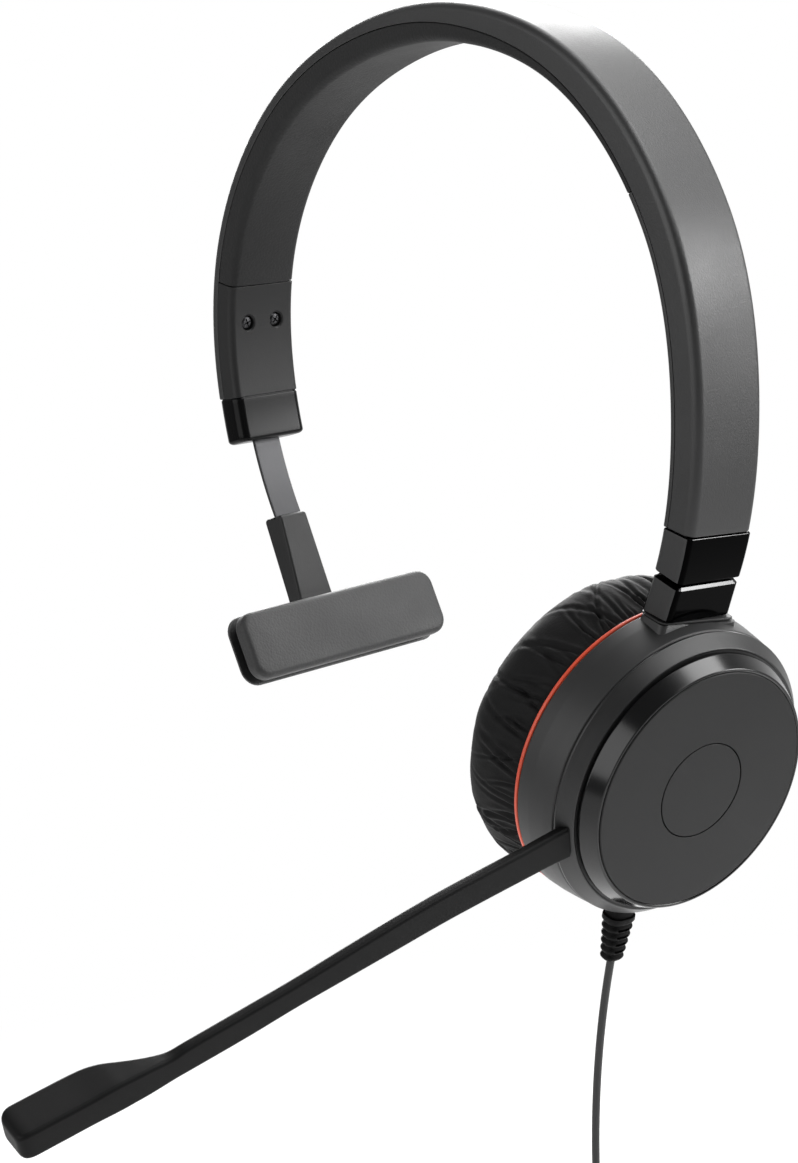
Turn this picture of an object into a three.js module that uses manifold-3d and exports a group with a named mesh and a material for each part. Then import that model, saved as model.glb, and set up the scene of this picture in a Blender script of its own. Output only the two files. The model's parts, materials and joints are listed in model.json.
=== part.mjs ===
// Wired one-ear office headset: sprung headband, T-bar head rest, sliding and
// swivelling ear cup with a turning microphone boom, and its cord.
// Millimetres, +Z up. The wearer faces -Y, the ear cup is on +X (left ear).
// Origin: on the underside of the crown pad, where the headset rests on a head.
import * as THREE from 'three';
import { mergeVertices } from 'three/addons/utils/BufferGeometryUtils.js';
import Module from 'manifold-3d';

const wasm = await Module();
wasm.setup();

// ---------------------------------------------------------------- dimensions
const RAD = Math.PI / 180;
const BAND_W = 17.2;                       // headband width (Y)
const CROWN_Z = 52.62;                     // crown underside above the band's polar centre
// headband outer curve: radius at polar angles -45, -15 ... 225 degrees
const BAND_R = [80.15, 71.55, 67.79, 64.89, 61.09, 60.01, 63.24, 68.01, 72.68, 79.96];
const BAND_T = [6.5, 7.29, 6.85];          // thickness at right end, crown, left end
const WALL = 1.4, LIP = 1.2;               // headband shell wall and side lips
const RIGHT_END = -31.6, LEFT_END = 191.7; // polar angles of the shell's ends
const PAD_FROM = 20.9, PAD_TO = 170.4;     // crown pad
const GAP = 0.3;                           // clearance between touching pieces
// sliding guides follow the band's curvature: arc centres (x, z) and radii
const SLIDE_C = [-27.82, -8.02], SLIDE_R = 94.75, SLIDE_T = 0.8, SLIDE_W = 9.0;
const TBAR_C = [11.85, -9.69], TBAR_R = 79.5, TBAR_T = 0.8, TBAR_W = 6.9;
// ear cup: outward axis tilted down and slightly forward, centre of its outer face
const CUP_C = [57.51, -2.71, -87.35];
const CUP_DOWN = 18.526 * RAD, CUP_YAW = 6.224 * RAD;
const DISC_R = 23.65, RIM_R = 26.6, RING_R = 30.0, HOUSING_R = 30.2, ACCENT_R = 30.6;
const S_RIM = -3.4, S_RING = -6.4, S_BACK = -16.4;   // depths along the cup axis
const CUSHION_R = 30.0, CUSHION_HOLE = 12.0, S_CUSH0 = -17.75, S_CUSH1 = -33.6;
// cord
const CORD_D = 1.6;
const EXIT = [-5.2, -40.6, -10.2];         // cord exit in the cup's own axes
const CORD_TILT = 18.63 * RAD, CORD_STRAIGHTENS = 62, CORD_DROP = 60;
const COIL_R0 = 6.0, COIL_R1 = 12.4, COIL_H = 6.4, COIL_BELOW = 17;

// ------------------------------------------------------------------- helpers
function toManifold(geo) {
  let g = geo.clone();
  for (const n of Object.keys(g.attributes)) if (n !== 'position') g.deleteAttribute(n);
  g = mergeVertices(g, 1e-4);
  const p = g.attributes.position.array, ix = Array.from(g.index.array);
  const tri = [];
  for (let i = 0; i < ix.length; i += 3) {
    const [a, b, c] = [ix[i], ix[i + 1], ix[i + 2]];
    if (a !== b && b !== c && a !== c) tri.push(a, b, c);
  }
  let vol = 0;
  for (let i = 0; i < tri.length; i += 3) {
    const [a, b, c] = [tri[i] * 3, tri[i + 1] * 3, tri[i + 2] * 3];
    vol += p[a] * (p[b + 1] * p[c + 2] - p[b + 2] * p[c + 1]) - p[a + 1] * (p[b] * p[c + 2] - p[b + 2] * p[c]) + p[a + 2] * (p[b] * p[c + 1] - p[b + 1] * p[c]);
  }
  if (vol < 0) for (let i = 0; i < tri.length; i += 3) [tri[i + 1], tri[i + 2]] = [tri[i + 2], tri[i + 1]];
  return new wasm.Manifold(new wasm.Mesh({ numProp: 3, vertProperties: new Float32Array(p), triVerts: new Uint32Array(tri) }));
}
function fromManifold(m) {
  const mesh = m.getMesh();
  const g = new THREE.BufferGeometry();
  g.setAttribute('position', new THREE.BufferAttribute(new Float32Array(mesh.vertProperties), 3));
  g.setIndex(Array.from(mesh.triVerts));
  g.computeVertexNormals();
  return g;
}
const solid = (...geos) => {              // first geometry joined with the rest
  let m = toManifold(geos[0]);
  for (const g of geos.slice(1)) m = m.add(toManifold(g));
  return m;
};
const cut = (m, ...geos) => { for (const g of geos) m = m.subtract(toManifold(g)); return m; };

const mat = {
  shell: [0x1f1f20, 0.55, 0.0], gloss: [0x060607, 0.12, 0.0], pad: [0x1a1a1b, 0.7, 0.0],
  steel: [0x8b8d90, 0.35, 1.0], leather: [0x101010, 0.6, 0.0], red: [0xd6492f, 0.45, 0.0],
  rubber: [0x0c0c0c, 0.7, 0.0], cloth: [0x151515, 0.95, 0.0], board: [0x1f4a2e, 0.6, 0.0],
  gold: [0xc9a45c, 0.3, 1.0], magnet: [0x77797c, 0.4, 1.0], cone: [0x2a2a2c, 0.6, 0.0],
};
const headset = new THREE.Group();
function add(group, name, m, kind) {
  const [color, roughness, metalness] = mat[kind];
  const mesh = new THREE.Mesh(fromManifold(m.isBufferGeometry ? toManifold(m) : m), new THREE.MeshStandardMaterial({ color, roughness, metalness }));
  mesh.name = name;
  group.add(mesh);
  return mesh;
}
// polar spline of the headband's outer curve (Catmull-Rom on even knots)
function bandR(phi) {
  const u = (phi + 45) / 30, i = Math.min(8, Math.max(0, Math.floor(u))), f = u - i;
  const k = j => BAND_R[Math.min(9, Math.max(0, j))];
  const p0 = i === 0 ? 2 * k(0) - k(1) : k(i - 1), p1 = k(i), p2 = k(i + 1), p3 = i === 8 ? 2 * k(9) - k(8) : k(i + 2);
  return 0.5 * (2 * p1 + (p2 - p0) * f + (2 * p0 - 5 * p1 + 4 * p2 - p3) * f * f + (3 * p1 - p0 - 3 * p2 + p3) * f * f * f);
}
const bandOuter = phi => { const r = bandR(phi); return [r * Math.cos(phi * RAD), r * Math.sin(phi * RAD)]; };
function bandPt(phi, t) {                 // point at depth t inwards from the outer curve
  const a = bandOuter(phi - 0.5), b = bandOuter(phi + 0.5), o = bandOuter(phi);
  const dx = b[0] - a[0], dz = b[1] - a[1], L = Math.hypot(dx, dz);
  return [o[0] - dz / L * t, o[1] + dx / L * t];
}
const bandT = phi => phi < 90 ? BAND_T[0] + (BAND_T[1] - BAND_T[0]) * (phi + 45) / 135 : BAND_T[1] + (BAND_T[2] - BAND_T[1]) * (phi - 90) / 135;
// depth of the seam between the shell's lips and the inner trim: deep on the right, shallow on the left
function seam(phi) {
  const s = Math.min(1, Math.max(0, (phi - 25) / 95)), q = s * s * (3 - 2 * s);
  return bandT(phi) * (0.82 - 0.50 * q);
}
// a flat outline in the XZ plane, extruded along Y
function slab(pts, y0, y1) {
  const s = new THREE.Shape(pts.map(p => new THREE.Vector2(p[0], p[1])));
  const g = new THREE.ExtrudeGeometry(s, { depth: y1 - y0, bevelEnabled: false, curveSegments: 1 });
  g.rotateX(Math.PI / 2);
  g.translate(0, y1, -CROWN_Z);
  return g;
}
function bandSlab(p0, p1, ta, tb, y0, y1, step = 5) {
  const fa = typeof ta === 'function' ? ta : () => ta, fb = typeof tb === 'function' ? tb : () => tb;
  const n = Math.max(2, Math.ceil(Math.abs(p1 - p0) / step)), a = [], b = [];
  for (let i = 0; i <= n; i++) { const p = p0 + (p1 - p0) * i / n; a.push(bandPt(p, fa(p))); b.push(bandPt(p, fb(p))); }
  return slab([...a, ...b.reverse()], y0, y1);
}
function arcSlab(c, r0, r1, a0, a1, y0, y1, step = 4) {   // ring sector in XZ, extruded along Y
  const n = Math.max(2, Math.ceil(Math.abs(a1 - a0) / step)), o = [], q = [];
  for (let i = 0; i <= n; i++) { const t = (a0 + (a1 - a0) * i / n) * RAD; o.push([c[0] + r1 * Math.cos(t), c[1] + r1 * Math.sin(t)]); q.push([c[0] + r0 * Math.cos(t), c[1] + r0 * Math.sin(t)]); }
  return slab([...o, ...q.reverse()], y0, y1);
}
// solid of revolution from [radius, height] points; closed profile, axis +Z
function lathe(pts, seg = 32, close = true) {
  const v = pts.map(p => new THREE.Vector2(p[0], p[1]));
  if (close) v.push(v[0].clone());
  const g = new THREE.LatheGeometry(v, seg);
  g.rotateX(Math.PI / 2);
  return g;
}
function cyl(r, z0, z1, seg = 20, x = 0, y = 0) {
  const g = new THREE.CylinderGeometry(r, r, z1 - z0, seg);
  g.rotateX(Math.PI / 2); g.translate(x, y, (z0 + z1) / 2);
  return g;
}
function box(x0, x1, y0, y1, z0, z1) {
  const g = new THREE.BoxGeometry(x1 - x0, y1 - y0, z1 - z0);
  g.translate((x0 + x1) / 2, (y0 + y1) / 2, (z0 + z1) / 2);
  return g;
}
const H = BAND_W / 2;

// ------------------------------------------------------------------ headband
const band = new THREE.Group();
headset.add(band);
add(band, 'headband_shell', solid(
  bandSlab(RIGHT_END, LEFT_END, 0, WALL, -H, H),
  bandSlab(RIGHT_END, LEFT_END, WALL - 0.05, seam, -H, -H + LIP),
  bandSlab(RIGHT_END, LEFT_END, WALL - 0.05, seam, H - LIP, H)), 'shell');
add(band, 'spring_core', solid(bandSlab(16, 166, WALL + 0.3, WALL + 0.8, -6.8, 6.8)), 'steel');
// crown pad: T-shaped, its rib sits between the shell's lips
const padShell = (() => {
  const n = 30, a = [], b = [];
  for (let i = 0; i <= n; i++) { const p = PAD_FROM + (PAD_TO - PAD_FROM) * i / n; a.push(bandPt(p, seam(p) + GAP)); b.push(bandPt(p, bandT(p))); }
  const flat = b.filter(q => !(q[0] > -3.2 && q[0] < 6.2));
  const k = flat.findIndex(q => q[0] <= -3.2);
  flat.splice(k, 0, [6, CROWN_Z], [-3, CROWN_Z]);
  return slab([...a, ...flat.reverse()], -H, H);
})();
add(band, 'crown_pad', solid(padShell), 'leather');
add(band, 'crown_foam', solid(bandSlab(22, 98, WALL + 1.15, p => Math.max(seam(p) - 0.1, WALL + 1.3), -H + LIP + 0.3, H - LIP - 0.3)), 'rubber');
add(band, 'right_inner_cover', solid(bandSlab(RIGHT_END, PAD_FROM - 0.35, p => seam(p) + GAP, bandT, -H, H)), 'shell');
add(band, 'slider_guide', solid(bandSlab(-29, 6, WALL + 2.3, p => seam(p) - 0.1, -H + LIP + 0.3, H - LIP - 0.3)), 'rubber');
// detent leaf lies in the guide's side of the channel above the strip's stowed end
add(band, 'detent_spring', solid(bandSlab(8.5, 14.5, WALL + 0.35, WALL + 0.75, -3, 3, 2)), 'steel');
// left inner cover, with a channel for the T-bar strip and two screw holes
const SCREW_PHI = 177.9, SCREW_Y = 3.8;
const sp = bandPt(SCREW_PHI, bandT(SCREW_PHI)), so = bandPt(SCREW_PHI, 0);
const sdir = new THREE.Vector3(sp[0] - so[0], 0, sp[1] - so[1]).normalize();
const along = (geo, y) => {                 // lay a +Z piece along the screw axis, base on the outer curve
  geo.applyQuaternion(new THREE.Quaternion().setFromUnitVectors(new THREE.Vector3(0, 0, 1), sdir));
  geo.translate(so[0], y, so[1] - CROWN_Z);
  return geo;
};
const T_L = bandT(SCREW_PHI);
let leftCover = solid(bandSlab(PAD_TO + 0.35, LEFT_END, p => seam(p) + GAP, bandT, -H, H));
leftCover = cut(leftCover, arcSlab(TBAR_C, TBAR_R - TBAR_T / 2 - 0.3, TBAR_R + 3, 160, 206, -TBAR_W / 2 - 0.3, TBAR_W / 2 + 0.3));
for (const y of [-SCREW_Y, SCREW_Y]) leftCover = cut(leftCover, along(cyl(1.75, T_L - 1.6, T_L + 3, 16), y), along(cyl(1.0, 0, T_L, 12), y));
add(band, 'left_inner_cover', leftCover, 'shell');
for (const [name, y] of [['cover_screw_front', -SCREW_Y], ['cover_screw_rear', SCREW_Y]]) {
  let s = solid(along(cyl(0.7, WALL + 0.3, T_L - 1.2, 12), y), along(cyl(1.45, T_L - 1.3, T_L - 0.5, 16), y));
  s = cut(s, along(box(-0.8, 0.8, -0.2, 0.2, T_L - 0.8, T_L), y), along(box(-0.2, 0.2, -0.8, 0.8, T_L - 0.8, T_L), y));
  add(band, name, s, 'steel');
}
add(band, 'left_end_cap', cut(
  solid(bandSlab(LEFT_END + 0.35, 198.6, -0.1, p => bandT(p) + 0.1, -H - 0.1, H + 0.1)),
  arcSlab(TBAR_C, TBAR_R - TBAR_T / 2 - 0.3, TBAR_R + TBAR_T / 2 + 0.3, 180, 206, -TBAR_W / 2 - 0.3, TBAR_W / 2 + 0.3)), 'gloss');
add(band, 'right_end_cap', cut(
  solid(bandSlab(-38.4, RIGHT_END - 0.35, -0.1, p => bandT(p) + 0.1, -H - 0.1, H + 0.1)),
  arcSlab(SLIDE_C, SLIDE_R - SLIDE_T / 2 - 0.3, SLIDE_R + SLIDE_T / 2 + 0.3, -35, -5, -SLIDE_W / 2 - 0.3, SLIDE_W / 2 + 0.3)), 'gloss');

// --------------------------------------------------------------------- T-bar
const tbar = new THREE.Group();
headset.add(tbar);
add(tbar, 'tbar_strip', solid(
  arcSlab(TBAR_C, TBAR_R - TBAR_T / 2, TBAR_R + TBAR_T / 2, 187.5, 202.4, -TBAR_W / 2, TBAR_W / 2),
  arcSlab(TBAR_C, TBAR_R - TBAR_T / 2, TBAR_R + TBAR_T / 2, 180.5, 187.8, -2.4, 2.4),
  arcSlab(TBAR_C, TBAR_R - TBAR_T / 2, TBAR_R + TBAR_T / 2, 202.2, 206.5, -2.4, 2.4)), 'steel');
const stemPts = [[-65.3, -41.7], [-59.3, -40.3], [-54.7, -58.2], [-52.2, -62.4], [-55.2, -68.0], [-57.6, -64.0], [-59.2, -58.6]];
// pad and back plate, in the pad's own axes: x = face normal, y = row Y, z = up along the face
const padGroup = new THREE.Group();
padGroup.position.set(-44.54, 0, -63.93 - CROWN_Z);
padGroup.rotation.y = -20.64 * RAD;
tbar.add(padGroup);
const rr = (w, h, r, n = 5) => {            // rounded rectangle outline in (y, z)
  const p = [];
  for (const [cx, cy, a] of [[w - r, h - r, 0], [-w + r, h - r, 90], [-w + r, -h + r, 180], [w - r, -h + r, 270]])
    for (let i = 0; i <= n; i++) p.push([cx + r * Math.cos((a + 90 * i / n) * RAD), cy + r * Math.sin((a + 90 * i / n) * RAD)]);
  return p;
};
function plate(w, h, r, x0, x1) {           // rounded plate from x0 to x1
  const s = new THREE.Shape(rr(w, h, r).map(q => new THREE.Vector2(q[0], q[1])));
  const g = new THREE.ExtrudeGeometry(s, { depth: x1 - x0, bevelEnabled: false });
  g.applyMatrix4(new THREE.Matrix4().makeBasis(new THREE.Vector3(0, 1, 0), new THREE.Vector3(0, 0, 1), new THREE.Vector3(1, 0, 0)));
  g.translate(x0, 0, 0);
  return g;
}
add(padGroup, 'tbar_pad', solid(plate(26.75, 7.3, 3.6, -3.6, 0)), 'leather');
add(padGroup, 'tbar_carrier', cut(solid(plate(25.4, 6.0, 2.8, -5.1, -3.9)), plate(2.2, 1.6, 0.5, -6, -3)), 'rubber');
// back plate: thicker in the middle where the stem joins
const backPts = [[-5.4, -26.9], [-5.4, 26.9], [-6.6, 26.0], [-8.4, 12], [-9.6, 4], [-9.6, -4], [-8.4, -12], [-6.6, -26.0]];
const back = (() => {
  const s = new THREE.Shape(backPts.map(q => new THREE.Vector2(q[0], q[1])));
  const g = new THREE.ExtrudeGeometry(s, { depth: 15.2, bevelEnabled: false });
  g.translate(0, 0, -7.6);
  return g;
})();
const backSolid = toManifold(back).intersect(toManifold(plate(27.0, 7.6, 3.9, -12, -5.4)));
add(padGroup, 'tbar_back_plate', backSolid, 'shell');

// stem: lapped behind the back plate, clear of it
padGroup.updateMatrixWorld(true);
const behind = box(-9.9, 3, -28, 28, -7.9, 7.9);
behind.applyMatrix4(padGroup.matrixWorld);
add(tbar, 'tbar_stem', cut(
  solid(slab(stemPts, -3.6, 3.6)),
  arcSlab(TBAR_C, TBAR_R - TBAR_T / 2 - 0.25, TBAR_R + TBAR_T / 2 + 0.25, 200, 206.8, -2.65, 2.65),
  behind), 'shell');

// -------------------------------------------------------------------- slider
const slider = new THREE.Group();
headset.add(slider);
// arm end: follows the band's curve, cut square to the swivel axis below
const armPts = [];
for (const p of [-39.5, -41.5, -43.2]) armPts.push(bandPt(p, 0));
const cupAxis = new THREE.Vector3(Math.cos(CUP_DOWN) * Math.cos(CUP_YAW), -Math.cos(CUP_DOWN) * Math.sin(CUP_YAW), -Math.sin(CUP_DOWN));
const cupUp = new THREE.Vector3(Math.sin(CUP_DOWN), 0, Math.cos(CUP_DOWN) * Math.cos(CUP_YAW)).normalize();
const cupBack = new THREE.Vector3().crossVectors(cupUp, cupAxis).normalize();
const local = (x, y, z) => new THREE.Vector3(...CUP_C).addScaledVector(cupBack, x).addScaledVector(cupUp, y).addScaledVector(cupAxis, z);
const NECK_TOP = 30.3;
{ // square lower edge just above the neck, in the cup's axes
  const q = s => { const v = local(0, NECK_TOP + 0.4, s); return [v.x, v.z]; };
  armPts.push(q(-10.1), q(-16.6));
}
for (const p of [-43.4, -42, -39.5]) armPts.push(bandPt(p, bandT(p)));
// cup frame: x backwards, y up, z outwards along the cup axis
const cup = new THREE.Group();
cup.matrix.makeBasis(cupBack, cupUp, cupAxis).setPosition(CUP_C[0], CUP_C[1], CUP_C[2] - CROWN_Z);
cup.matrix.decompose(cup.position, cup.quaternion, cup.scale);
headset.add(cup);
cup.updateMatrixWorld(true);
const PIN_X = 1.55, PIN_Z = -13.3;
const pinGeo = (r, y0, y1, seg = 16) => { const g = new THREE.CylinderGeometry(r, r, y1 - y0, seg); g.translate(PIN_X, (y0 + y1) / 2, PIN_Z); g.applyMatrix4(cup.matrixWorld); return g; };
let arm = solid(slab(armPts, -H, H));
arm = cut(arm, pinGeo(1.9, NECK_TOP - 1, NECK_TOP + 4.0), arcSlab(SLIDE_C, SLIDE_R - SLIDE_T / 2 - 0.25, SLIDE_R + SLIDE_T / 2 + 0.25, -26.0, -20, -SLIDE_W / 2 - 0.25, SLIDE_W / 2 + 0.25));
add(slider, 'arm_end', arm, 'gloss');
add(slider, 'slider_strip', solid(arcSlab(SLIDE_C, SLIDE_R - SLIDE_T / 2, SLIDE_R + SLIDE_T / 2, -25.7, 1.5, -SLIDE_W / 2, SLIDE_W / 2)), 'steel');
add(slider, 'swivel_pin', solid(pinGeo(1.6, NECK_TOP - 4.6, NECK_TOP + 3.6), pinGeo(2.6, NECK_TOP - 5.6, NECK_TOP - 4.4)), 'steel');

// ------------------------------------------------------------------- ear cup
const HUB_R = 23.9;
let housing = solid(
  lathe([[HOUSING_R, S_RING - 0.3], [HOUSING_R, S_BACK], [HOUSING_R - 1.6, S_BACK], [HOUSING_R - 1.6, S_RING - 1.9], [HUB_R - 1.5, S_RING - 1.9], [HUB_R - 1.5, S_RIM - 0.9], [HUB_R, S_RIM - 0.9], [HUB_R, S_RING - 0.3]], 36));
const neck = box(PIN_X - 8.4, PIN_X + 8.4, 26.4, NECK_TOP, -16.3, -10.3);
const neckClear = cyl(HOUSING_R - 1.6, S_BACK, S_RING - 1.9, 36);
housing = housing.add(cut(toManifold(neck), neckClear));
const localPin = (r, y0, y1) => { const g = new THREE.CylinderGeometry(r, r, y1 - y0, 16); g.translate(PIN_X, (y0 + y1) / 2, PIN_Z); return g; };
housing = cut(housing, localPin(1.9, 20, NECK_TOP + 1));
// slot in the bottom wall for the strain relief
housing = cut(housing, box(EXIT[0] - 3.0, EXIT[0] + 3.0, -32, -26, EXIT[2] - 2.6, EXIT[2] + 2.6));
add(cup, 'cup_housing', housing, 'shell');
add(cup, 'accent_ring', lathe([[ACCENT_R, S_BACK - 0.3], [ACCENT_R, S_BACK - 1.05], [27.6, S_BACK - 1.05], [27.6, S_BACK - 0.3]], 40), 'red');
add(cup, 'baffle_plate', cut(solid(lathe([[27.2, S_BACK + 0.2], [27.2, S_BACK - 1.05], [10.2, S_BACK - 1.05], [10.2, S_BACK + 0.2]], 28)),
  cyl(0.9, S_BACK - 3, S_BACK + 3, 8, 20, 12), cyl(0.9, S_BACK - 3, S_BACK + 3, 8, -20, 12), cyl(0.9, S_BACK - 3, S_BACK + 3, 8, 0, -22)), 'rubber');
add(cup, 'speaker_basket', lathe([[14.0, S_BACK + 0.5], [14.0, S_BACK + 1.6], [9.2, S_BACK + 4.0], [7.6, S_BACK + 4.0], [7.6, S_BACK + 3.2], [11.8, S_BACK + 0.5]], 24), 'cone');
add(cup, 'speaker_magnet', cyl(7.2, S_BACK + 3.3, S_BACK + 6.2, 20), 'magnet');
add(cup, 'speaker_cone', lathe([[0, S_BACK + 0.9], [9.6, S_BACK - 0.3], [9.6, S_BACK - 0.8], [0, S_BACK + 0.2]], 24, true), 'cone');
add(cup, 'circuit_board', cut(solid(cyl(19.5, -10.2, -9.3, 24)), cyl(1.2, -12, -8, 10, 14, 8), cyl(1.2, -12, -8, 10, -14, 8)), 'board');
for (const [name, x] of [['board_screw_front', -14], ['board_screw_rear', 14]])
  add(cup, name, solid(cyl(0.8, -9.9 - 1.6, -8.9, 10, x, 8), cyl(1.6, -9.0, -8.45, 12, x, 8)), 'steel');
// glossy stepped rim and the matte disc inside it, with the centre medallion
add(cup, 'glossy_rim', lathe([[23.95, -0.25], [24.3, -0.1], [25.2, -1.1], [RIM_R, S_RIM], [RIM_R - 0.3, S_RIM - 0.35], [22.6, S_RIM - 0.35], [22.6, -2.0], [23.95, -2.0]], 40), 'gloss');
add(cup, 'outer_disc', lathe([[DISC_R, -0.15], [DISC_R, -1.65], [0, -1.65], [0, -1.05], [9.65, -1.05], [9.65, 0], [DISC_R - 0.5, 0]], 40), 'shell');
add(cup, 'medallion', lathe([[9.35, -0.75], [9.35, 0.0], [0, 0.0], [0, -0.75]], 32), 'shell');
// cushion: padded ring with an acoustic cloth in its hollow
add(cup, 'cushion_plate', lathe([[28.4, S_BACK - 1.35 - 0.0], [28.4, S_CUSH0 - 0.35 + 0.3], [13, S_CUSH0 - 0.35 + 0.3], [13, S_BACK - 1.35]], 28), 'rubber');
add(cup, 'ear_cushion', lathe([[27.8, S_CUSH0 - 0.35], [29.6, S_CUSH0 - 1.2], [CUSHION_R + 0.4, -23], [CUSHION_R, -28.5], [28.0, -32.2], [24.5, S_CUSH1], [18.5, S_CUSH1], [14.2, -31.4], [CUSHION_HOLE, -27.5], [CUSHION_HOLE, S_CUSH0 - 0.35]], 32), 'leather');
add(cup, 'acoustic_cloth', cyl(11.6, -30.6, -29.7, 24), 'cloth');
add(cup, 'acoustic_foam', cyl(11.4, -29.4, -18.4, 20), 'rubber');
// strain relief: tapered, its flange inside the housing wall
function taper(w0, d0, w1, d1, y0, y1) {    // box tapering along y
  const g = new THREE.BoxGeometry(1, 1, 1), p = g.attributes.position;
  for (let i = 0; i < p.count; i++) {
    const up = p.getY(i) > 0;
    p.setXYZ(i, p.getX(i) * (up ? w0 : w1), up ? y0 : y1, p.getZ(i) * (up ? d0 : d1));
  }
  g.translate(EXIT[0], 0, EXIT[2]);
  return g;
}
let relief = solid(taper(5.4, 4.6, 5.4, 4.6, -27.2, -30.6), taper(6.8, 6.2, 6.4, 5.8, -30.5, -32.0));
for (let i = 0; i < 4; i++) {
  const y = -32.9 - i * 1.85, w = 6.2 - i * 0.55, d = 5.6 - i * 0.5;
  relief = relief.add(toManifold(taper(w, d, w - 0.3, d - 0.3, y, y - 1.1)));
}
relief = relief.add(toManifold(taper(4.6, 4.0, 3.0, 2.8, -31.9, EXIT[1] + 0.3)));
add(cup, 'strain_relief', relief, 'rubber');

// ---------------------------------------------------------- boom ring + boom
const boomRing = lathe([[HUB_R + 0.35, S_RIM - 0.7], [RIM_R, S_RIM - 0.7], [RIM_R + 0.5, S_RIM - 0.55], [RING_R - 0.5, S_RING + 0.7], [RING_R, S_RING + 0.1], [RING_R, S_RING], [HUB_R + 0.35, S_RING]], 40);
// outline in the ring's plane (forward, down), extruded across its thickness
function fd(pts, s0, s1) {
  const sh = new THREE.Shape(pts.map(q => new THREE.Vector2(-q[0], -q[1])));
  const g = new THREE.ExtrudeGeometry(sh, { depth: s1 - s0, bevelEnabled: false });
  g.translate(0, 0, s0);
  return g;
}
const BOOM_TOP = [[35.8, 6.1], [52.4, 10.8], [62.5, 14.3], [72.3, 18.0], [82, 21.6], [91.5, 24.7], [103.4, 28.5]];
const BOOM_LOW = [[34.3, 11.9], [51.5, 16.5], [61.7, 19.6], [71.7, 22.7], [81.5, 25.9], [91.1, 28.7], [102.2, 32.5]];
add(cup, 'boom_ring', solid(boomRing, fd([[27.6, 3.9], [34.9, 5.8], [33.4, 11.6], [26.4, 10.4]], S_RING, S_RIM - 0.85)), 'shell');
add(cup, 'boom_arm', solid(fd([...BOOM_TOP, ...BOOM_LOW.slice().reverse()], S_RING + 0.1, S_RIM - 0.75)), 'rubber');
// microphone head: outline across the boom (along, inwards), extruded over its height
const MIC = new THREE.Group();
{
  const p0 = new THREE.Vector2(102.9, 30.55), p1 = new THREE.Vector2(133.6, 38.9), d = p1.clone().sub(p0).normalize();
  const m = new THREE.Matrix4().makeBasis(new THREE.Vector3(-d.x, -d.y, 0), new THREE.Vector3(0, 0, -1), new THREE.Vector3(d.y, -d.x, 0));
  m.setPosition(-p0.x, -p0.y, 0);
  m.decompose(MIC.position, MIC.quaternion, MIC.scale);
}
cup.add(MIC);
const micOut = [[0.4, 4.15], [8, 4.0], [31.0, 4.0], [31.9, 5.0], [31.9, 11.0], [30.6, 12.4], [17.5, 12.5], [13.5, 11.4], [9.0, 8.3], [4.5, 6.7], [0.4, 6.3]];
const prism = (pts, z0, z1) => {
  const g = new THREE.ExtrudeGeometry(new THREE.Shape(pts.map(q => new THREE.Vector2(q[0], q[1]))), { depth: z1 - z0, bevelEnabled: false });
  g.translate(0, 0, z0);
  return g;
};
add(MIC, 'mic_housing', cut(solid(prism(micOut, -2.6, 2.6)), box(18.0, 29.6, 6.2, 14, -1.8, 1.8)), 'shell');
add(MIC, 'mic_capsule', (() => { const g = new THREE.CylinderGeometry(1.55, 1.55, 3.0, 16); g.translate(23.8, 8.0, 0); return g; })(), 'magnet');
add(MIC, 'mic_grille', box(18.3, 29.3, 11.0, 12.3, -1.5, 1.5), 'cloth');

// ---------------------------------------------------------------------- cord
const cordGroup = new THREE.Group();
cordGroup.position.set(0, 0, -CROWN_Z);
headset.add(cordGroup);
const exit = local(...EXIT);
class Vee extends THREE.Curve {             // polyline through given points, smoothed
  constructor(pts) { super(); this.c = new THREE.CatmullRomCurve3(pts, false, 'centripetal'); }
  getPoint(t, o) { return this.c.getPoint(t, o); }
}
const drop = [];                            // from the exit, turning from the cup's tilt to plumb
for (let i = 0; i <= 12; i++) {
  const L = CORD_DROP * i / 12, n = 40; let x = 0, z = 0;
  for (let j = 0; j < n; j++) { const th = Math.max(0, CORD_TILT * (1 - (L * (j + 0.5) / n) / CORD_STRAIGHTENS)); x -= Math.sin(th) * L / n; z -= Math.cos(th) * L / n; }
  drop.push(new THREE.Vector3(exit.x + x, exit.y, exit.z + z));
}
const dropEnd = drop[12];
const coilC = new THREE.Vector3(dropEnd.x, dropEnd.y, dropEnd.z - COIL_BELOW);
const RT = COIL_R1 - CORD_D / 2;
const coilAt = (psi, r = RT) => new THREE.Vector3(coilC.x + r * Math.sin(psi * RAD), coilC.y, coilC.z + r * Math.cos(psi * RAD));
const lead = [...drop, new THREE.Vector3(coilC.x + 1.2, coilC.y, coilC.z + 14.9), new THREE.Vector3(coilC.x + 5.0, coilC.y, coilC.z + 11.6), coilAt(52)];
const tail = [coilAt(118), new THREE.Vector3(coilC.x + 6.6, coilC.y, coilC.z - 10.8), new THREE.Vector3(coilC.x + 2.4, coilC.y, coilC.z - 16.2), new THREE.Vector3(coilC.x, coilC.y, coilC.z - 21.5)];
const circle8 = new THREE.Shape(Array.from({ length: 8 }, (_, i) => new THREE.Vector2(CORD_D / 2 * Math.cos((i + 0.5) * 45 * RAD), CORD_D / 2 * Math.sin((i + 0.5) * 45 * RAD))));
const tube = (pts, steps) => new THREE.ExtrudeGeometry(circle8, { steps, bevelEnabled: false, extrudePath: new THREE.CatmullRomCurve3(pts, false, 'centripetal') });
const coilRing = (r0, r1, h) => {
  const g = lathe([[r1, -h / 2], [r1, h / 2], [r0, h / 2], [r0, -h / 2]], 32);
  g.rotateX(Math.PI / 2); g.translate(coilC.x, coilC.y, coilC.z);
  return g;
};
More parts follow.
